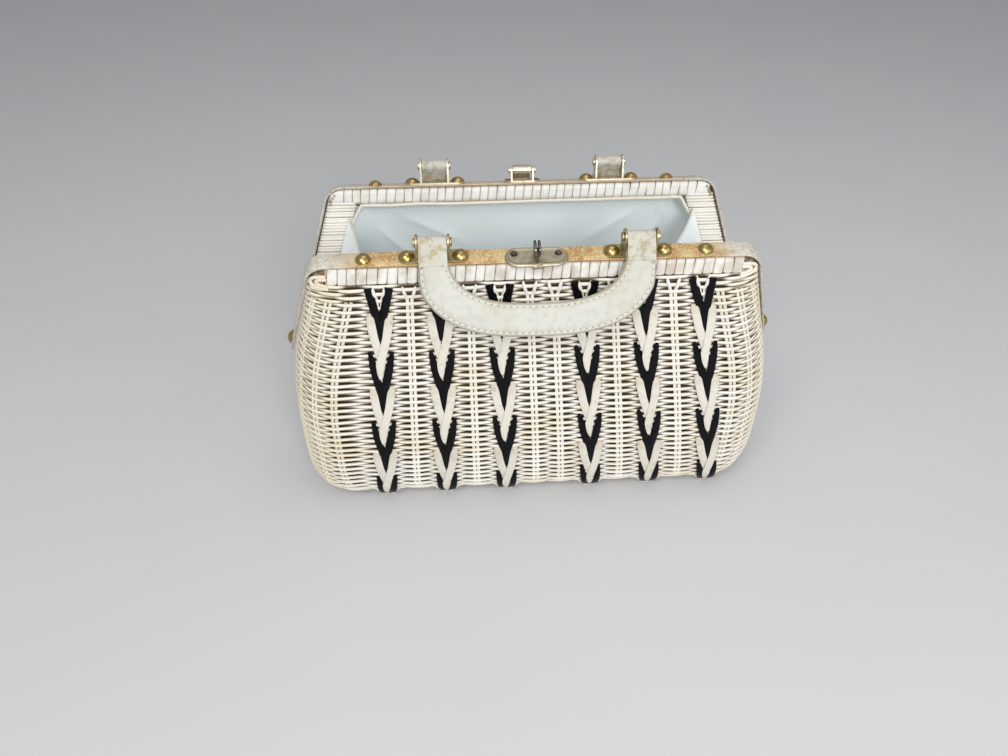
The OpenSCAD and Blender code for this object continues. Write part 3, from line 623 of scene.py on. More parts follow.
def stand_stakes(strands):
    """All pairs of stakes; one at a corner starts lower, and is left out where it wouldn't fit."""
    s = np.concatenate([np.linspace(-PRONG, 10, 16), np.linspace(12, WALL_L - 1, 74)])
    inside = np.clip(s, 0.0, WALL_L)
    places = np.stack([stake_places(v) for v in inside], 1)
    limit = reach(inside) - 2
    apart = STAKE_HALF + SPREAD * share(FORK_S - s, FORK_L)
    over = ease(share(CLIMB_S - s, CLIMB_L))
    for k, place in enumerate(places):
        face = CORNER_STAKES < k < len(places) - CORNER_STAKES - 1
        fits = (np.abs(place) < limit) & (face | (s > CORNER_START))
        if fits.sum() < FEWEST:
            continue
        long = PRONG * rng.uniform(0.6, 1.0)
        pick = fits & (s > -long)
        deep = FACE_DEEP if face else CORNER_DEEP
        lift = deep + (PRONG_OUT - deep) * over - 0.5 * (1 - flatness(s))
        radius = STAKE_R * np.clip(TIP + (s[pick] + long) / 4, TIP, FULL)
        for half in (-1, 1):
            path, normal = wall_point(s[pick], (place + half * apart)[pick], lift[pick])
            strands.tube(path, normal, radius, tone=rng.uniform(0, 0.6), hollow=hollow_of(0, -0.75, 2))


def close_corners(strands):
    """Short rows at both rim corners, then two loops over them."""
    for s in CORNER_ROWS:
        z = float(profile(s)[1])
        arch = JAW_W / 2 - JAW_R + math.sqrt(max(0, ARCH_R ** 2 - max(0, z - JAW_H + JAW_R) ** 2))
        inset = max(0.0, float(half_width(z)) + 1.6 - arch)
        along = np.linspace(flat_of(s, inset) + CORNER_FROM, float(reach(s, inset)), 22)
        for place in (-1, 1):
            path, normal = wall_point(s, place * along, CORNER_OUT, inset)
            strands.tube(path, normal, 0.98, tone=rng.uniform(0.2, 1), hollow=0.35)
    u = np.linspace(0, math.pi, 25)
    for size in (1.0, 0.55):
        along = flat_of(LOOP_S) + LOOP_FROM + LOOP_W * size * np.sin(u)
        for place in (-1, 1):
            path, normal = wall_point(LOOP_S + LOOP_H * size * np.cos(u), place * along, LOOP_OUT)
            strands.tube(path, normal, LOOP_R, 7, tone=0.7, hollow=0.1)


for side in HALVES:
    stakes = Strands()
    stand_stakes(stakes)
    close_corners(stakes)
    stakes.on_half(side, "stakes", reed_white, "wicker")

# %% [markdown]
# ## Cane binding
# A flat cane is wound round the rail of the jaw, turn beside turn. Each turn is a band round the rail's
# section, crowned a little across its width and sunk at its edges, so the joints show as thin dark
# lines. One wide turn closes each corner.

# %% Binding finish
cane = Finish("cane_binding", Roughness=0.42)
stain, fibre = cane.noise(11, 4), cane.noise(1.4, 2, (1, 1, 0.15))
soil = stain.step(0.38, 0.60) * 0.6 * (0.4 + cane.own("tone") * 0.5) * cane.front(0.03, 0.4)
soil = soil + cane.own("hollow") * 1.2
cane_white = cane.feed(
    Base_Color=soil.blend(fibre.blend((0.81, 0.80, 0.765), (0.75, 0.735, 0.68)), (0.31, 0.215, 0.10)),
    Roughness=0.3 + fibre * 0.25, height=fibre, depth_mm=0.08)

# %% Section of the binding
BEND_R, TURN_IN = 1.1, 0.35


def binding_outline():
    """The rounded section of the binding as depth and height, with directions that lead out."""
    z1 = JAW_H - STRIP_T - SEAT
    z0 = z1 - SEEN_BAND
    lean = math.tan(LEAN + OPEN)
    corners = np.array([[RIM + TURN_IN, z1 - TURN_IN], [RIM + TURN_IN, z0 + TURN_IN],
                        [JAW_D - 0.4 + (z1 - z0) * lean, z0 + TURN_IN], [JAW_D - 0.45, z1 - TURN_IN]])
    outline, leads = [], []
    for k in range(4):
        a, b, c = corners[k - 1], corners[k], corners[(k + 1) % 4]
        edge_in, edge_out = unit(b - a), unit(c - b)
        n_in, n_out = np.array([edge_in[1], -edge_in[0]]), np.array([edge_out[1], -edge_out[0]])
        for t in (0, 0.33, 0.67, 1):
            leads.append(unit(n_in * (1 - t) + n_out * t))
            outline.append(b - BEND_R * edge_in * (1 - t) + BEND_R * edge_out * t)
        for t in (0.33, 0.67):
            leads.append(n_out)
            outline.append(b + (c - b) * t)
    outline, leads = np.array(outline), np.array(leads)
    flip = np.sign(np.sum(leads * (outline - outline.mean(0)), 1))
    return outline, leads * flip[:, None]


print("the section has", len(binding_outline()[0]), "points")

# %% Binding turns
TURN_W, END_TURN, CORNER_ARCH, CORNER_LIMIT, TONGUE_H = 5.5, 9, 11.0, 7.5, 3.5
ACROSS = np.array([-0.5, -0.475, -0.43, -0.2, 0, 0.2, 0.43, 0.475, 0.5])
CROWN = 0.36 - 0.14 * np.abs(2 * ACROSS) ** 2 - 0.75 * np.abs(2 * ACROSS) ** 22


def bind_half(side):
    wraps = Strands()
    outline, leads = binding_outline()
    depth, height = outline.T
    flat_half = JAW_W / 2 - JAW_R
    low = np.clip(1 - (height - height.min()) / TONGUE_H, 0, 1) * (depth > 8)
    edges = [1 - flat_half]
    while edges[-1] < flat_half - 4:
        edges.append(edges[-1] + TURN_W * rng.uniform(0.9, 1.1))
    edges = [edges[0] - END_TURN] + edges + [edges[-1] + END_TURN]
    for a, b in zip(edges[:-1], edges[1:]):
        slant = rng.normal(1.3, 0.35) * (height - height.mean()) / BAND_H
        x = (a + b) / 2 + ACROSS[:, None] * (b - a) + slant
        flat = outline + (CROWN[:, None, None] + rng.normal(0, 0.12)) * leads
        points = np.concatenate([x[..., None], np.maximum(flat, [RIM + 0.02, 0])], -1)
        beyond = np.clip(np.abs(x) - flat_half, 0, 10.8)
        arch = JAW_H - JAW_R + np.sqrt(CORNER_ARCH ** 2 - beyond ** 2)
        points[..., 2] = np.where(beyond > 0, np.minimum(points[..., 2], arch), points[..., 2])
        points[..., 1] = np.where(beyond > 1, np.minimum(points[..., 1], CORNER_LIMIT), points[..., 1])
        tongue = rng.uniform(0, 1.6) * (rng.uniform() < 0.45)
        points[..., 2] += tongue * low * (np.abs(2 * ACROSS) ** 2.5)[:, None]
        wraps.grid(points, caps=False, tone=rng.uniform(0, 1), hollow=share(0.16 - CROWN, 0.5)[:, None])
    wraps.on_half(side, "binding_turns", cane_white, "cane_binding", "binding")


for side in HALVES:
    bind_half(side)

# %% [markdown]
# ## Leather strip
# A strip of leather is nailed over the jaw, along the top and down both sides. Paint has worn off along
# the top, where the bag was handled, so tan leather shows there, and grey-white is left at the corners.
# The band is lofted along the jaw's outline with rounded edges and a slight unevenness.

# %% Strip finish
hide = Finish("strip_leather", Roughness=0.6)
patch, pore, crackle = hide.noise(9, 4), hide.noise(0.9, 3), hide.noise(1.3, 5, rough=0.7)
bare = (abs(hide.axis("X")) + patch * 0.022).step(0.130, 0.107) * hide.front(0.02, 0.45)
fleck = crackle.step(0.46, 0.60) * (0.25 + patch * 0.9)
tan = patch.step(0.40, 0.58).blend((0.42, 0.225, 0.06), (0.56, 0.385, 0.155))
tan = fleck.blend(tan, (0.71, 0.61, 0.40))
grey = crackle.step(0.4, 0.6).blend((0.68, 0.65, 0.58), (0.50, 0.46, 0.38))
grey = (hide.noise(5, 4).step(0.54, 0.68) * 0.5).blend(grey, (0.36, 0.25, 0.13))
edge = hide.own("edge").step(0.35, 1.0) * (0.25 + bare * 0.5)
strip_hide = hide.feed(Base_Color=edge.blend(bare.blend(grey, tan), (0.22, 0.11, 0.04)),
                       Roughness=0.42 + pore * 0.3, height=pore + fleck * 0.4, depth_mm=0.12)

# %% Strip
STRIP_ROUND, STRIP_CROWN = 0.55, 0.12


def jaw_outline(inset):
    """Right half of the jaw's outline, from the middle of the top to the strip's lower end."""
    r = JAW_R - inset
    cx, cz = JAW_W / 2 - JAW_R, JAW_H - JAW_R
    angle = np.linspace(math.pi / 2, SLOPE, 12)
    bend = np.stack([cx + r * np.cos(angle), cz + r * np.sin(angle)], -1)
    top = np.stack([np.linspace(0, cx - 2, 40), np.full(40, JAW_H - inset)], -1)
    z = np.linspace(bend[-1, 1] - 2, STRIP_END, 24)
    leg = np.stack([side_x(z, inset), z], -1)
    return np.concatenate([top, bend, leg])


def strip_half(side):
    band = Strands()
    right = jaw_outline(STRIP_T / 2)
    line = np.concatenate([(right * [-1, 1])[:0:-1], right])
    tangent = unit(np.gradient(line, axis=0))
    lead = np.stack([-tangent[:, 1], tangent[:, 0]], -1)
    n, r, h, d0, d1 = len(line), STRIP_ROUND, STRIP_T / 2, RIM, JAW_D
    ring, brink = [], []
    for depth, height in ((d0, -h + r), (d0, h - r), (d0 + r * 0.4, h - r * 0.3), (d0 + r * 1.4, h),
                          ((d0 + d1) / 2, h + STRIP_CROWN), (d1 - r * 1.4, h), (d1 - r * 0.4, h - r * 0.3),
                          (d1, h - r), (d1, -h + r), (d1 - r, -h), (d0 + r, -h)):
        wave = waver(n, 60, 0.10) if height > 0 else np.zeros(n)
        shift = waver(n, 40, 0.14) if depth > JAW_D / 2 else np.abs(waver(n, 40, 0.1))
        at = line + (height + wave)[:, None] * lead
        ring.append(np.stack([at[:, 0], depth + shift, at[:, 1]], -1))
        brink.append(1.0 if height < 0.3 else 0.0)
    band.grid(np.stack(ring, 1), edge=np.array(brink))
    band.on_half(side, "leather_strip", strip_hide, "strip_leather", "strip")


for side in HALVES:
    strip_half(side)

# %% [markdown]
# ## Ribbon braids
# Six braids run down each face: black and white ribbon by turns, each ribbon a V whose arms come out of
# the weave, lie on it, cross, and are tucked in again. The tip of one V lies between the arms of the
# next. Each arm is a thin curved band, so the crossings really lie over each other. The last black one
# turns round the bottom edge as a U, with a reed laid over it.

# %% Ribbon finishes
vinyl_black = Finish("black_ribbon", Roughness=0.3, Specular_IOR_Level=0.14)
scratch = vinyl_black.noise(5, 4, (1, 1, 0.3))
ribbon_black = vinyl_black.feed(
    Base_Color=scratch.step(0.55, 0.8).blend((0.003, 0.003, 0.004), (0.009, 0.009, 0.012)),
    Roughness=0.14 + scratch * 0.25, height=scratch, depth_mm=0.2)
vinyl_white = Finish("white_ribbon", Roughness=0.4)
spot, smear = vinyl_white.noise(2.2, 4), vinyl_white.noise(16, 4)
# Spots and smears are real grime; the start of each ribbon, where it comes out from under the reeds, is
# painted darker as shade.
grime_and_shade = spot.step(0.56, 0.74) * 0.55 + vinyl_white.own("hollow") * 0.55 + smear.step(0.55, 0.75) * 0.3
ribbon_white = vinyl_white.feed(
    Base_Color=grime_and_shade.blend((0.70, 0.66, 0.58), (0.40, 0.31, 0.20)),
    Roughness=0.3 + spot * 0.3, height=spot, depth_mm=0.12)

# %% Ribbon bands
BRAIDS = [k * 2 * STAKE_PITCH + math.copysign(STAKE_OFFSET * STAKE_PITCH, k)
          for k in (-2.5, -1.5, -0.5, 0.5, 1.5, 2.5)]
VEES, V_LEAD, FIRST_RISE = 7, 9.0, 2.2
V_STEP = EDGE_S / (VEES - 1)
RIBBON_W, RIBBON_T = 4.9, 0.55
RIBBON_RING = ((-0.5, 0), (-0.42, 0.42), (0, 0.62), (0.42, 0.42), (0.5, 0), (0.42, -0.42), (0, -0.3),
               (-0.42, -0.42))


def ribbon(strands, x, s, side_off, out, width):
    """A flat band along s at a sideways offset, with rounded edges."""
    s = np.clip(s, -FIRST_RISE, WALL_L)
    middle, normal = wall_point(s, column_x(x, s) + side_off, out)
    across = np.cross(normal, unit(np.gradient(middle, axis=0)))
    ring = [middle + (u * width)[:, None] * across + v * RIBBON_T * normal for u, v in RIBBON_RING]
    # The first fifth of a band carries `hollow`, which the white ribbon paints as shade where the band comes
    # out from under the reeds.
    fade = np.linspace(0, 1, len(s))
    strands.grid(np.stack(ring, 1), hollow=np.clip(1 - fade * 5, 0, 1)[:, None] * 0.9)


print(len(BRAIDS), "braids of", VEES, "ribbons, one every", round(V_STEP, 1), "mm")

# %% Arms of a V


def white_arm(arm, t):
    """Share of the length, offset, height and width of a white arm, whose tip crosses the other arm."""
    reached = t * (0.83 if arm < 0 else 1.0)
    off = np.interp(reached, [0, 0.35, 0.72, 0.86, 1], [5.9, 3.6, -0.5, -0.7, -0.1])
    over = share(reached - 0.3, 0.3) * (0.75 if arm > 0 else -0.25)
    out = 0.2 + 1.45 * share(t, 0.07) + over - 2.4 * share(t - 0.93, 0.07) ** 2
    width = RIBBON_W * (1 - 0.82 * share(t - 0.74, 0.26) ** 1.3) * (0.8 + 0.2 * share(t, 0.1))
    return reached, arm * off + rng.normal(0, 0.12), out, width


def black_arm(arm, t, first):
    """The same of a black arm; the first one starts wide, above the weave."""
    gap = np.clip(1 - t / 0.62, 0, 1)
    off = arm * ((5.2 if first else 5.9) * gap ** 0.85 + 0.55 * np.clip(1.6 - 1.6 * t, 0, 1) + 0.1)
    out = 0.55 + 0.6 * (1.0 if first else share(t, 0.07)) + 0.12 * arm - 1.9 * share(t - 0.9, 0.1) ** 2
    width = RIBBON_W * (1 - 0.75 * share(t - 0.76, 0.24) ** 1.3)
    if first:
        return t, off, out + 0.9 * np.clip(1 - t / 0.25, 0, 1), width
    return t, off, out, width * (0.4 + 0.6 * share(t, 0.25) ** 0.7)


print("black arms start", round(float(black_arm(1, np.zeros(1), False)[1][0]), 2), "mm from the middle")

# %% Braids
FIRST_L, BLACK_L, WHITE_L, U_L, U_W = 34.0, 45.0, 43.0, 21.0, 4.4


def vee_arm(strands, x, i, arm, t):
    """One arm of a V: out of the weave, over it, across the other arm and into the weave again."""
    start = max(-FIRST_RISE, i * V_STEP - V_LEAD + rng.normal(0, 0.5))
    long = (WHITE_L if i % 2 else BLACK_L) if i else FIRST_L + FIRST_RISE
    reached, off, out, width = white_arm(arm, t) if i % 2 else black_arm(arm, t, i == 0)
    ribbon(strands, x, start + reached * min(long, WOVEN_L - 9 - start), off, out, width)


def last_turn(strands, x):
    """The last black ribbon: a U whose bend turns under the bottom edge."""
    u = np.linspace(-1, 1, 29)
    s = (VEES - 1) * V_STEP - V_LEAD - 1 + U_L * (1 - np.abs(u) ** 2.4)
    off = 5.4 * np.sign(u) * np.abs(u) ** 0.7
    out = 1.15 + 1.3 * (1 - u ** 2) - 1.3 * share(np.abs(u) - 0.92, 0.08)
    ribbon(strands, x, s, off, out, U_W - 1.6 * np.abs(u) ** 6)


def edge_reed(strands, x):
    """A reed that lies over the bend of the U."""
    u = np.linspace(-1, 1, 21)
    bump = np.cos(u * math.pi / 2) ** 2
    at = EDGE_S + 5.0 + 8.5 * bump
    path, normal = wall_point(at, column_x(x, at) + 11 * u, -1.2 + 4.2 * bump)
    strands.tube(path, normal, REED_R, tone=0.3, hollow=0.1)


def braid_half(side):
    black, white, loops = Strands(), Strands(), Strands()
    t = np.linspace(0, 1, 34)
    for x in BRAIDS:
        for i in range(VEES - 1):
            for arm in (-1, 1):
                vee_arm(white if i % 2 else black, x, i, arm, t)
        last_turn(black, x)
        edge_reed(loops, x)
    black.on_half(side, "black_braids", ribbon_black, "black_ribbon", "black_ribbon")
    white.on_half(side, "white_braids", ribbon_white, "white_ribbon", "white_ribbon")
    loops.on_half(side, "edge_reeds", reed_white, "wicker")


for side in HALVES:
    braid_half(side)

# %% [markdown]
# ## Handles
# Each handle is a D of two leathers sewn round a soft core, with a rolled tab at each end that turns on
# a pin. The form is lofted between two rounded outlines with a crowned section, thinner where the
# thread pulls it in. The stitches are short real strands along both edges and across each tab.

# %% Handle finishes
grain = Finish("handle_leather", Roughness=0.55)
pebble, blot, age = grain.noise(1.1, 4), grain.noise(4, 4), grain.noise(24, 3)
mottle = blot.step(0.46, 0.66) * 0.45 + age.step(0.45, 0.62) * 0.35
# Mottle is real wear; the rolled tabs, between the bracket ears, and the stitch grooves are painted darker as
# shade; the edges, where the two leathers meet, are darker too.
wear_and_shade = grain.own("tab") * (blot.step(0.48, 0.62) * 0.55 + 0.15) + mottle * 0.5 + grain.own("seam") * 0.35
handle_hide = grain.feed(
    Base_Color=wear_and_shade.blend((0.58, 0.58, 0.525), (0.42, 0.36, 0.235)),
    Roughness=0.42 + pebble * 0.3, height=pebble + blot * 0.4, depth_mm=0.22)
thread = Finish("cream_thread", Roughness=0.7)
twist = thread.noise(0.8, 2).blend((0.68, 0.65, 0.56), (0.80, 0.78, 0.71))
# Needle holes are short dark strands: painted shade where the thread goes into the leather.
thread_cream = thread.feed(Base_Color=thread.own("hole").blend(twist, (0.17, 0.13, 0.08)))

# %% The curve of a handle
PIN_D, PIN_Z, HANG = (RIM + JAW_D) / 2, JAW_H + 11.5, math.radians(45)
GRIP_A, GRIP_B, GRIP_W, GRIP_T, TAB_W = 58.0, 54.0, 19.0, 6.0, 15.5
GRIP_BULGE, EAR_R, GRIP_EDGE, GRIP_ROUND, PULL = 4.0, 4.5, 0.9, 2.75, 0.45


def grip_to_half(p):
    """Handle plane (x, up, thickness) to the half's frame."""
    c, s = math.cos(HANG), math.sin(HANG)
    y = p[..., 2] * c + p[..., 1] * s
    z = -p[..., 2] * s + p[..., 1] * c
    return np.stack([p[..., 0], PIN_D - y, PIN_Z + z], -1)


def grip_curve(t, v):
    """A point of the D: t runs from one pin to the other, v from the inner edge to the outer one."""
    a = GRIP_A + (v - 0.5) * TAB_W + 0.5 * (1 - v)
    b = GRIP_B - (1 - v) * GRIP_W
    c, s = np.cos(t), np.sin(t)
    p = 2 / GRIP_ROUND
    up = -b * np.abs(s) ** p
    a = a + v * GRIP_BULGE * share(-up - 2 * EAR_R, GRIP_W)
    return a * np.sign(c) * np.abs(c) ** p, up


def grip_height(v):
    """Half the thickness across the D, before the thread pulls it in."""
    return GRIP_EDGE + (GRIP_T / 2 - GRIP_EDGE) * (1 - np.abs(2 * v - 1) ** 3.2) ** 0.5


print("the grip hangs", round(-float(grip_curve(math.pi / 2, 1.0)[1]), 1), "mm from its pins")

# %% Handle leather
STRAP = np.array([(-13.5, 3.15), (-11, 3.35), (-7, 3.3), (-3, 3.35)])
STRAP_R, STRAP_HOLE = 3.4, 0.72


def grip(leather):
    """The D: one crowned ring of points, carried from pin to pin."""
    t = np.linspace(0, math.pi, 129)
    t = t + 0.06 * np.sin(4 * t)
    ring_v = np.concatenate([np.linspace(0, 1, 17), np.linspace(1, 0, 17)[1:-1]])
    face = np.concatenate([np.ones(17), -np.ones(15)])
    dip = np.exp(-((np.abs(2 * ring_v - 1) - 0.76) / 0.07) ** 2)
    brink = 2.2 * (np.abs(2 * ring_v - 1) > 0.985)
    thick = face * (grip_height(ring_v) - PULL * dip)
    thick[(ring_v == 0) | (ring_v == 1)] = 0
    x, up = grip_curve(t[:, None], ring_v[None])
    near = np.clip(1 - np.abs(up[:, 8]) / 15, 0, 1)
    form = np.stack([x, up, thick * (1 - 0.25 * near)[:, None]], -1)
    leather.grid(grip_to_half(form), tab=0.0, seam=dip + brink)


def rolled_tab(leather, end):
    """A strap that comes up one face, bends round the pin and goes down the other face."""
    wide = np.linspace(-1, 1, 9)
    bend = np.linspace(0.15, math.pi - 0.15, 12)
    bend = STRAP_R * np.stack([np.sin(bend), np.cos(bend)], -1)
    up, thick = np.concatenate([STRAP, bend, (STRAP * [1, -1])[::-1]]).T[..., None]
    x = np.broadcast_to(end * GRIP_A + wide * (TAB_W / 2 + 0.15), (len(up), len(wide)))
    thick = thick * (1 - 0.06 * wide ** 4)
    outer = np.stack([x, np.broadcast_to(up, x.shape), thick], -1)
    inner = np.stack([x, np.broadcast_to(np.minimum(up, STRAP_HOLE * up), x.shape), STRAP_HOLE * thick], -1)
    leather.grid(grip_to_half(np.concatenate([outer, inner[:, ::-1]], 1)), tab=1.0, seam=0.0)


for side in HALVES:
    leather = Strands()
    grip(leather)
    for end in (-1, 1):
        rolled_tab(leather, end)
    leather.on_half(side, "leather_handle", handle_hide, "handle_leather", "handle", "handle")

# %% Stitches and needle holes
STITCH_PITCH, STITCH_L, HOLE_L, STITCH_V, STITCH_END = 3.6, 1.25, 0.42, (0.115, 0.885), 13.5
STITCH_R = np.array([0.22, 0.38, 0.22])
TAB_STITCH_UP, TAB_STITCH_L, TAB_STITCHES = -12.3, 0.75, np.linspace(-0.82, 0.82, 7)
CURVE_STEPS = 900


def stitch(strands, path, face, hole=0.0):
    lead = grip_to_half(np.array([[0, 0, face]])) - grip_to_half(np.zeros((1, 3)))
    strands.tube(grip_to_half(np.asarray(path, float)), np.repeat(lead, len(path), 0), STITCH_R, 5, hole=hole)


def stitch_line(strands, v, face):
    """Stitches along an edge of the D, with a short dark strand between each two: the painted shade of a
    needle hole.
    """
    x, up = grip_curve(np.linspace(0.12, math.pi - 0.12, CURVE_STEPS), v)
    run = np.concatenate([[0], np.cumsum(np.hypot(np.diff(x), np.diff(up)))])
    h = grip_height(v) - PULL
    for k in np.arange(2, run[-1] - 3, STITCH_PITCH):
        for middle, long, hole in ((k, STITCH_L, 0.0), (k + STITCH_PITCH / 2, HOLE_L, 1.0)):
            at = [middle - long, middle, middle + long]
            px, pu = np.interp(at, run, x), np.interp(at, run, up)
            level = np.full(3, h - 0.1) if hole else np.array([h - 0.14, h + 0.2, h - 0.14])
            if abs(pu[1]) > STITCH_END:
                stitch(strands, np.stack([px, pu, face * level], -1), face, hole)


def sew_handle(side):
    sewing = Strands()
    for face in (1, -1):
        for v in STITCH_V:
            stitch_line(sewing, v, face)
        for x in (end * GRIP_A + k * TAB_W / 2 for end in (-1, 1) for k in TAB_STITCHES):
            stitch(sewing, [[x - TAB_STITCH_L, TAB_STITCH_UP, face * 3.35], [x, TAB_STITCH_UP, face * 3.62],
                            [x + TAB_STITCH_L, TAB_STITCH_UP, face * 3.35]], face)
    sewing.on_half(side, "handle_stitches", thread_cream, "handle_leather", body="handle")


for side in HALVES:
    sew_handle(side)

# %% [markdown]
# ## Metal
# The brackets, nails, pins and hasp are solids of the right shape. Sheet metal never has a knife edge,
# so a copy of each solid gets fine rounded edges and stands for it. Only the domed nails need none.
# Brass has tarnish in patches; the clasp plate is a paler gilt nickel, and the knob is dark.
# The rear half's brass and the hasp are painted paler than the front's, as the light they catch.

# %% Metal finishes


def metal(name, colour, dull, tarnish, rough):
    made = Finish(name, Metallic=1.0)
    film, scratch = made.noise(3.2, 4), made.noise(0.7, 2, (0.2, 1, 1))
    shade = film.step(0.42, 0.7)
    shown = (shade * tarnish).blend(colour, dull)
    # Where a mesh carries `hollow`, the colour goes near black: painted shade in the clasp plate's nail
    # holes.
    return made.feed(Base_Color=made.own("hollow").blend(shown, (0.03, 0.025, 0.02)),
                     Roughness=rough + shade * 0.2 + scratch * 0.08, height=scratch, depth_mm=0.015)


nail_brass = metal("nail_brass", (0.58, 0.42, 0.16), (0.26, 0.17, 0.06), 0.8, 0.2)
pale_brass = metal("pale_brass", (0.50, 0.41, 0.23), (0.27, 0.20, 0.09), 0.75, 0.3)
# The rear brass is a paler copy of the front's: painted light, as it catches more of it.
brass_painted_lit = metal("brass_painted_lit", (0.72, 0.66, 0.50), (0.46, 0.38, 0.22), 0.5, 0.3)
gilt_nickel = metal("gilt_nickel", (0.54, 0.475, 0.345), (0.36, 0.30, 0.195), 0.6, 0.36)
bright_nickel = metal("bright_nickel", (0.56, 0.49, 0.35), (0.38, 0.31, 0.20), 0.6, 0.26)
dark_nickel = metal("dark_nickel", (0.20, 0.17, 0.145), (0.07, 0.055, 0.045), 0.8, 0.2)
dull_nail = metal("dull_nail", (0.22, 0.18, 0.14), (0.1, 0.07, 0.05), 0.8, 0.35)
# The hasp is painted paler still, as a highlight.
hasp_gilt = metal("hasp_gilt", (0.86, 0.80, 0.66), (0.6, 0.5, 0.33), 0.4, 0.22)

# %% Rounded copies of the metal solids
WELD, LEVEL_ANGLE, BEVEL_ANGLE, METAL_SMOOTH = 2e-6, 0.6, 40, 32


def soften(node, body, finish, width=0):
    """A copy of a solid with edges rounded by a width in mm, which stands for it."""
    form = bmesh.new()
    form.from_mesh(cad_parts[node].data)
    bmesh.ops.remove_doubles(form, verts=form.verts, dist=WELD)
    bmesh.ops.dissolve_limit(form, angle_limit=math.radians(LEVEL_ANGLE), verts=form.verts, edges=form.edges)
    mesh = bpy.data.meshes.new(node + "_rounded")
    form.to_mesh(mesh)
    form.free()
    piece = dress(mesh, node + "_rounded", body, finish, [node], smooth=METAL_SMOOTH)
    if width:
        bevel = piece.modifiers.new("edges", "BEVEL")
        bevel.width, bevel.segments, bevel.limit_method = width * MM, 2, "ANGLE"
        bevel.angle_limit = math.radians(BEVEL_ANGLE)


for side, name in HALVES.items():
    # The front half takes the plain brass, the rear the copy painted paler as light.
    brass = pale_brass if side > 0 else brass_painted_lit
    for place in ("left", "right"):
        soften(f"{name}_bracket_{place}", name + "_half", brass, 0.3)
    soften(name + "_handle_pins", name + "_half", brass, 0.25)
    for kind in ("strip", "bracket"):
        soften(f"{name}_{kind}_nails", name + "_half", nail_brass)
# The clasp nails are painted near black, as the shade in their sunk holes.
soften("clasp_nails", "front_half", dull_nail)
soften("hasp_bracket", "rear_half", brass_painted_lit, 0.25)
soften("hasp_nails", "rear_half", dull_nail)
soften("hasp_pin", "rear_half", brass_painted_lit, 0.2)
soften("hasp", "hasp", hasp_gilt, 0.25)

# %% [markdown]
# ## Clasp
# The clasp plate is stamped from sheet: a rolled rim round a sunk, brushed field, with two countersunk
# nail holes. The knob is folded from one piece of sheet, so two blades stand side by side on its stem.
# A small bent tab holds the plate at the strip's front edge. Height fields over a few rows of points
# give the stamped relief.

# %% Clasp plate
CLASP_L, CLASP_D, CLASP_T, CLASP_BACK = 36.0, 15.0, 1.4, 1
CLASP_MID, NAIL_X = RIM + CLASP_BACK + CLASP_D / 2, CLASP_L / 2 - 0.36 * CLASP_D
SINK_R, SINK, ROLL_W, FIELD, PLATE_EDGE = 1.9, 0.55, 1.3, 0.35, 0.3


def clasp_plate():
    plate = Strands()
    x = CLASP_L / 2 * np.sin(np.linspace(-math.pi / 2, math.pi / 2, 81))
    past = np.maximum(np.abs(x) - (CLASP_L - CLASP_D) / 2, 0)
    half = np.sqrt(np.maximum((CLASP_D / 2) ** 2 - past ** 2, 1e-4))
    y = half[:, None] * np.sin(np.linspace(-math.pi / 2, math.pi / 2, 41))
    inward = CLASP_D / 2 - np.hypot(past[:, None], y)
    roll = np.sqrt(1 - (1 - share(inward, ROLL_W)) ** 2)
    away = np.hypot(np.abs(x)[:, None] - NAIL_X, y - (RIM + JAW_D) / 2 + CLASP_MID)
    sink = np.exp(-(away / SINK_R) ** 6)
    z = PLATE_EDGE + (CLASP_T - PLATE_EDGE) * roll - FIELD * ease(share(inward - 1.5, 0.9)) - SINK * sink
    top = np.stack([np.broadcast_to(x[:, None], y.shape), CLASP_MID + y, JAW_H + z], -1)
    below = np.stack([top[..., 0], top[..., 1], np.full(y.shape, JAW_H + 0.05)], -1)
    # The sunk nail holes carry `hollow`, painted near black as shade.
    plate.grid(np.concatenate([top, below[:, ::-1]], 1), hollow=np.concatenate([0.85 * sink, 0 * sink], 1))
    plate.piece("clasp_stamped_plate", "front_half", gilt_nickel, "nickel_plate", ["clasp_plate"], 1)


clasp_plate()

# %% Clasp tab


def bent_tab():
    tab = Strands()
    line = np.array([[-4.6, 1.2], [-2.2, 1.46], [-0.3, 1.48], [0.55, 1.05], [0.8, 0.2], [0.7, -0.7]])
    line = line + [CLASP_MID + CLASP_D / 2, JAW_H]
    lead = np.array([[0, 1], [0, 1], [0.2, 0.98], [0.75, 0.66], [1, 0.1], [1, -0.1]])
    across = np.array([-2.8, -2.5, 0, 2.5, 2.8, 2.5, 0, -2.5])
    level = np.array([0, 0.2, 0.24, 0.2, 0, -0.2, -0.2, -0.2])
    x = np.array([0.9, 1, 1, 1, 1, 0.9])[:, None] * across
    tab.grid(np.concatenate([x[..., None], line[:, None] + level[:, None] * lead[:, None]], -1))
    tab.piece("clasp_tab", "front_half", bright_nickel, "nickel_plate", (), 1)


bent_tab()

# %% Turn knob
HASP_T, HASP_PLAY, WING_L, WING_H, WING_OFF = 1.2, 0.5, 9.5, 7.0, 1.2
WING_LOW = CLASP_T + HASP_PLAY + HASP_T + HASP_PLAY
WING_LAYERS = ((-0.72, 0.72), (-0.7, 0.9), (-0.45, 1.0), (0.45, 1.0), (0.7, 0.9), (0.72, 0.72))


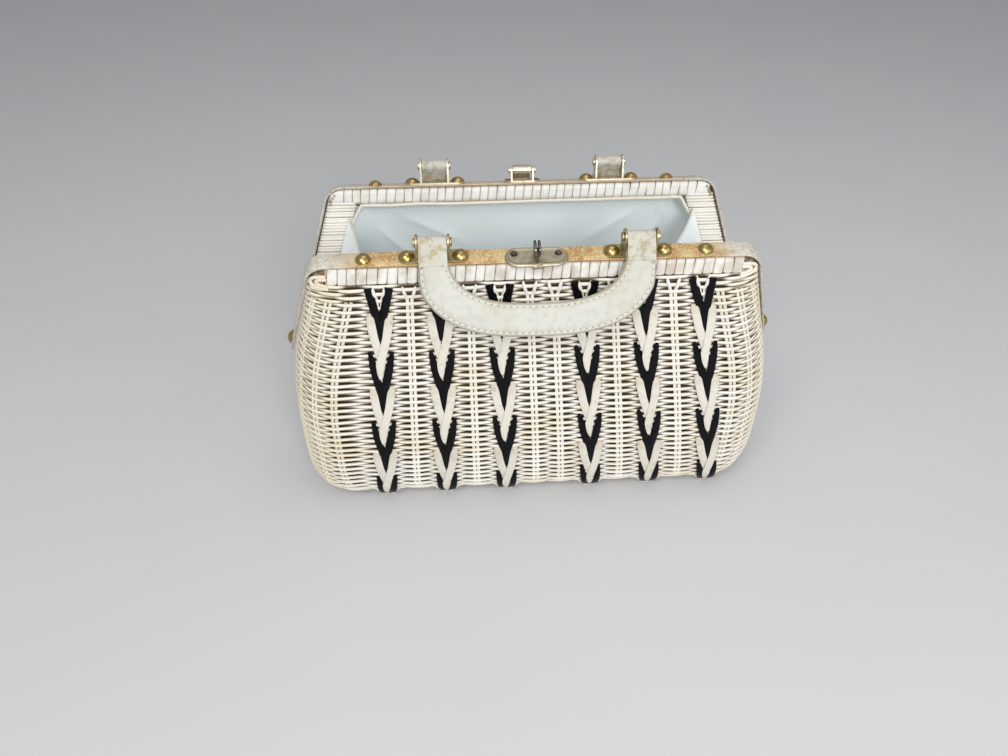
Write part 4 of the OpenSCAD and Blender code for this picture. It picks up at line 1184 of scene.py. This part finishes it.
def turn_knob():
    knob = Strands()
    angle = np.linspace(0, 2 * math.pi, 40, endpoint=False)
    wide = WING_L / 2 * np.sign(np.cos(angle)) * np.abs(np.cos(angle)) ** 0.55
    high = WING_H / 2 * np.sign(np.sin(angle)) * np.abs(np.sin(angle)) ** 0.8
    for middle in (-WING_OFF, WING_OFF):
        knob.grid(np.stack([
            np.stack([np.full(40, middle + off), CLASP_MID + size * wide,
                      JAW_H + WING_LOW + WING_H / 2 + size * high], -1) for off, size in WING_LAYERS]))
    for low, up, radius in ((0.1, WING_LOW + 1.5, 1.4), (WING_LOW, WING_LOW + 2.2, 1.5)):
        stem = np.array([[0, CLASP_MID, JAW_H + z] for z in np.linspace(low, up, 4)])
        knob.tube(stem, np.repeat([[1.0, 0, 0]], 4, 0), radius, 16)
    knob.piece("clasp_turn_knob", "turn_knob", dark_nickel, "dark_nickel", ["turn_knob"], 1)


turn_knob()

# %% [markdown]
# ## Lining
# The inside is lined with thin pale vinyl, glued along the top under a bead of piping. It was cut flat
# and pressed into the curved half, so it has diagonal creases and slack: the wall's own function, moved
# inwards, plus crease lines. A dark brown sheet behind the reeds is painted shade for the gaps between them.

# %% Lining finishes
VINYL_PALE, VINYL_DUSTY, PIPING = (0.90, 0.955, 0.96), (0.85, 0.88, 0.87), (0.78, 0.76, 0.70)
film = Finish("lining_vinyl", Roughness=0.35)
dust, dimple = film.noise(6, 4), film.noise(0.8, 2)
smudge = film.noise(60, 3).step(0.45, 0.75) * 0.35 + dust.step(0.62, 0.75) * 0.25
lining_pale = film.feed(Base_Color=smudge.blend(VINYL_PALE, VINYL_DUSTY),
                        Roughness=0.3 + dust * 0.2, height=dimple, depth_mm=0.05)
# Painted shade: a dark brown sheet that darkens the gaps between the reeds.
painted_gap = Finish("painted_gap_shade", Roughness=0.9)
gap_shade_finish = painted_gap.feed(Base_Color=painted_gap.noise(1.2, 3).blend((0.055, 0.038, 0.024), (0.11, 0.08, 0.05)),
                        height=painted_gap.noise(0.6, 2), depth_mm=0.1)
side_film = Finish("gusset_vinyl", Roughness=0.35)
gusset_pale = side_film.feed(Base_Color=side_film.own("hem").blend(
    side_film.noise(9, 3).step(0.5, 0.8).blend(VINYL_PALE, VINYL_DUSTY), PIPING),
    height=side_film.noise(0.8, 2), depth_mm=0.05)
cream = Finish("piping_vinyl", Roughness=0.4)
piping_cream = cream.feed(Base_Color=cream.noise(8, 3).blend(PIPING, (0.68, 0.64, 0.53)),
                          height=cream.noise(0.8, 2), depth_mm=0.05)

# %% Creases and flat sizes
CREASES = (((-102, 14), (-66, 60), 2.4, 3.4), ((-88, 4), (-36, 36), 1.9, 4),
           ((102, 14), (70, 58), 2.4, 3.6), ((86, 4), (38, 40), 1.7, 4.5),
           ((-96, 5), (-101, 15), 1.6, 2.6), ((96, 5), (101, 15), 1.6, 2.6),
           ((-104, 40), (-74, 120), 1.5, 6), ((104, 44), (78, 118), 1.5, 6))


def crease(x, y, a, b, size, width):
    """A soft ridge from point a to point b in the plane of the lining."""
    a, d = np.array(a, float), np.subtract(b, a)
    t = np.clip(((x - a[0]) * d[0] + (y - a[1]) * d[1]) / d.dot(d), 0, 1)
    far = np.hypot(x - a[0] - t * d[0], y - a[1] - t * d[1])
    return size * np.exp(-far / width) * np.sin(math.pi * np.clip(t * 0.9 + 0.05, 0, 1))


print(len(CREASES), "creases")

# %% Linings and the dark sheets of painted shade behind the reeds
LINING_IN, LINING_OUT, SHADE_SHEET_OUT = 12.6, -4.7, -4.15


def level_line(s, count, short):
    end = float(reach(s, LINING_IN)) - short
    return np.linspace(-end, end, count)


def line_half(side):
    s = np.concatenate([np.linspace(0.6, 100, 58), np.linspace(102, WALL_L - 0.5, 60)])
    rows = []
    for v in s:
        along = level_line(v, 150, 0.3)
        slack = sum(crease(along, v, *ridge) for ridge in CREASES)
        slack = slack + 0.5 * np.sin(along / 23 + v / 31) * np.sin(v / 17) * share(v, 20)
        rows.append(wall_point(v, along, LINING_OUT - np.clip(slack, -0.2, 4), LINING_IN)[0])
    sheet, back = Strands(), Strands()
    sheet.grid(np.stack(rows), closed=False)
    piece = sheet.on_half(side, "vinyl_lining", lining_pale, "lining_vinyl", "lining")
    # A dark sheet just inside the reeds is painted shade for the gaps between them.
    back.grid(np.stack([wall_point(v, level_line(v, 60, 0.5), SHADE_SHEET_OUT, LINING_IN)[0]
                        for v in np.concatenate([[-5.0, -1.5], s[::3]])]), closed=False)
    shade_sheet = back.on_half(side, "gap_shade_sheet", gap_shade_finish, "lining_vinyl")


for side in HALVES:
    line_half(side)

# %% Piping
BEAD_R, BEAD_HALF, BEAD_LOW, BEAD_D, TAIL_D = 1.15, 107, 1.35, 1.5, 1.6
TAIL_TOP, TAIL_END, TAIL_IN = 149, 112, 20.0


def pipe_half(side):
    bead = Strands()
    z = JAW_H - STRIP_T - SEEN_BAND - BEAD_LOW + waver(90, 12, 0.18)
    path = np.stack([np.linspace(-BEAD_HALF, BEAD_HALF, 90), np.full(90, RIM + BEAD_D), z], -1)
    tail_z = np.linspace(TAIL_TOP, TAIL_END, 14)
    tail_x = side_x(tail_z, TAIL_IN) - 2.5 * share(tail_z - 140, 9)
    tail = np.stack([tail_x, np.full(14, RIM + TAIL_D), tail_z], -1)
    path = np.concatenate([(tail * [-1, 1, 1])[::-1], path, tail])
    bead.tube(path, np.repeat([[0.0, -1.0, 0.0]], len(path), 0), BEAD_R, 8)
    bead.on_half(side, "piping_bead", piping_cream, "piping_vinyl", "piping")


for side in HALVES:
    pipe_half(side)

# %% [markdown]
# ## Gussets
# A wedge of vinyl closes each side between the linings. It is folded inwards down its middle, and its
# hemmed top edge droops to the fold. It has to close with the mouth, so it rides no body; it is drawn
# once, across the gap of the open mouth.

# %% Gussets
GUSSET_DROP, GUSSET_SAG, GUSSET_IN, GUSSET_END, HEM_W = 6.0, 14.0, 16.2, 0.16, 2.2
FOLDS = {"left_gusset": (-1, 0.3), "right_gusset": (1, 0.52)}


def gusset(name, place, fold_share):
    sheet = Strands()
    top = SHELL_TOP - GUSSET_DROP
    h = np.linspace(top - HEM_W - 0.3, GUSSET_END * SHELL_TOP, 34)
    h = np.concatenate([[top, top - HEM_W / 2, top - HEM_W], h])[:, None]
    f = np.linspace(-1, 1, 41)
    open_y = h * math.sin(OPEN) - 0.5
    inward = 1 - np.clip(np.sqrt(f ** 2 + 0.01) - 0.1 * (1 - np.abs(f)), 0, 1)
    x = half_width(h) - GUSSET_IN - fold_share * open_y * inward
    ripple = (0.8 * np.sin(f * 7) * np.sin(h / 13) + 0.7 * np.sin(f * 4 + h / 9)) * (1 - f ** 2)
    droop = GUSSET_SAG * inward * ((h - h[-1]) / (top - h[-1])) ** 3
    z = HINGE_H + h * math.cos(OPEN) - RIM - droop
    grid = np.stack([place * (x + ripple), place * open_y * f, z], -1)
    sheet.grid(grid, closed=False, hem=np.where(h > top - HEM_W - 0.1, 1.0, 0.0))
    piece = sheet.piece(name + "_fold", "rear_half", gusset_pale, "lining_vinyl", [name], ride=False)
    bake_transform(piece)


for name, (place, fold_share) in FOLDS.items():
    gusset(name, place, fold_share)

# %% [markdown]
# ## What stays a solid
# The rails, the cane rod of the seam and its reed loops have the right shape already, so they only get
# finishes: bare bent wood for the rails, the binding's cane for the rod, painted reed for the loops.

# %% Finishes of the remaining solids
timber = Finish("rail_wood", Roughness=0.6)
year = timber.noise(2.0, 3, (0.12, 1, 1))
rail_wood = timber.feed(Base_Color=year.blend((0.30, 0.17, 0.075), (0.46, 0.29, 0.14)),
                        Roughness=0.5 + year * 0.2, height=year, depth_mm=0.1)
for node, finish in (("front_rail", rail_wood), ("rear_rail", rail_wood), ("hinge_rod", cane_white),
                     ("front_hinge_loops", reed_white), ("rear_hinge_loops", reed_white)):
    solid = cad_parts[node]
    solid.data.materials.clear()
    solid.data.materials.append(finish)
    print(node, "->", finish.name)

# %% [markdown]
# ## Size
# The dressed bag has to stay the size of the solid one, so every piece above is drawn to its sizes.
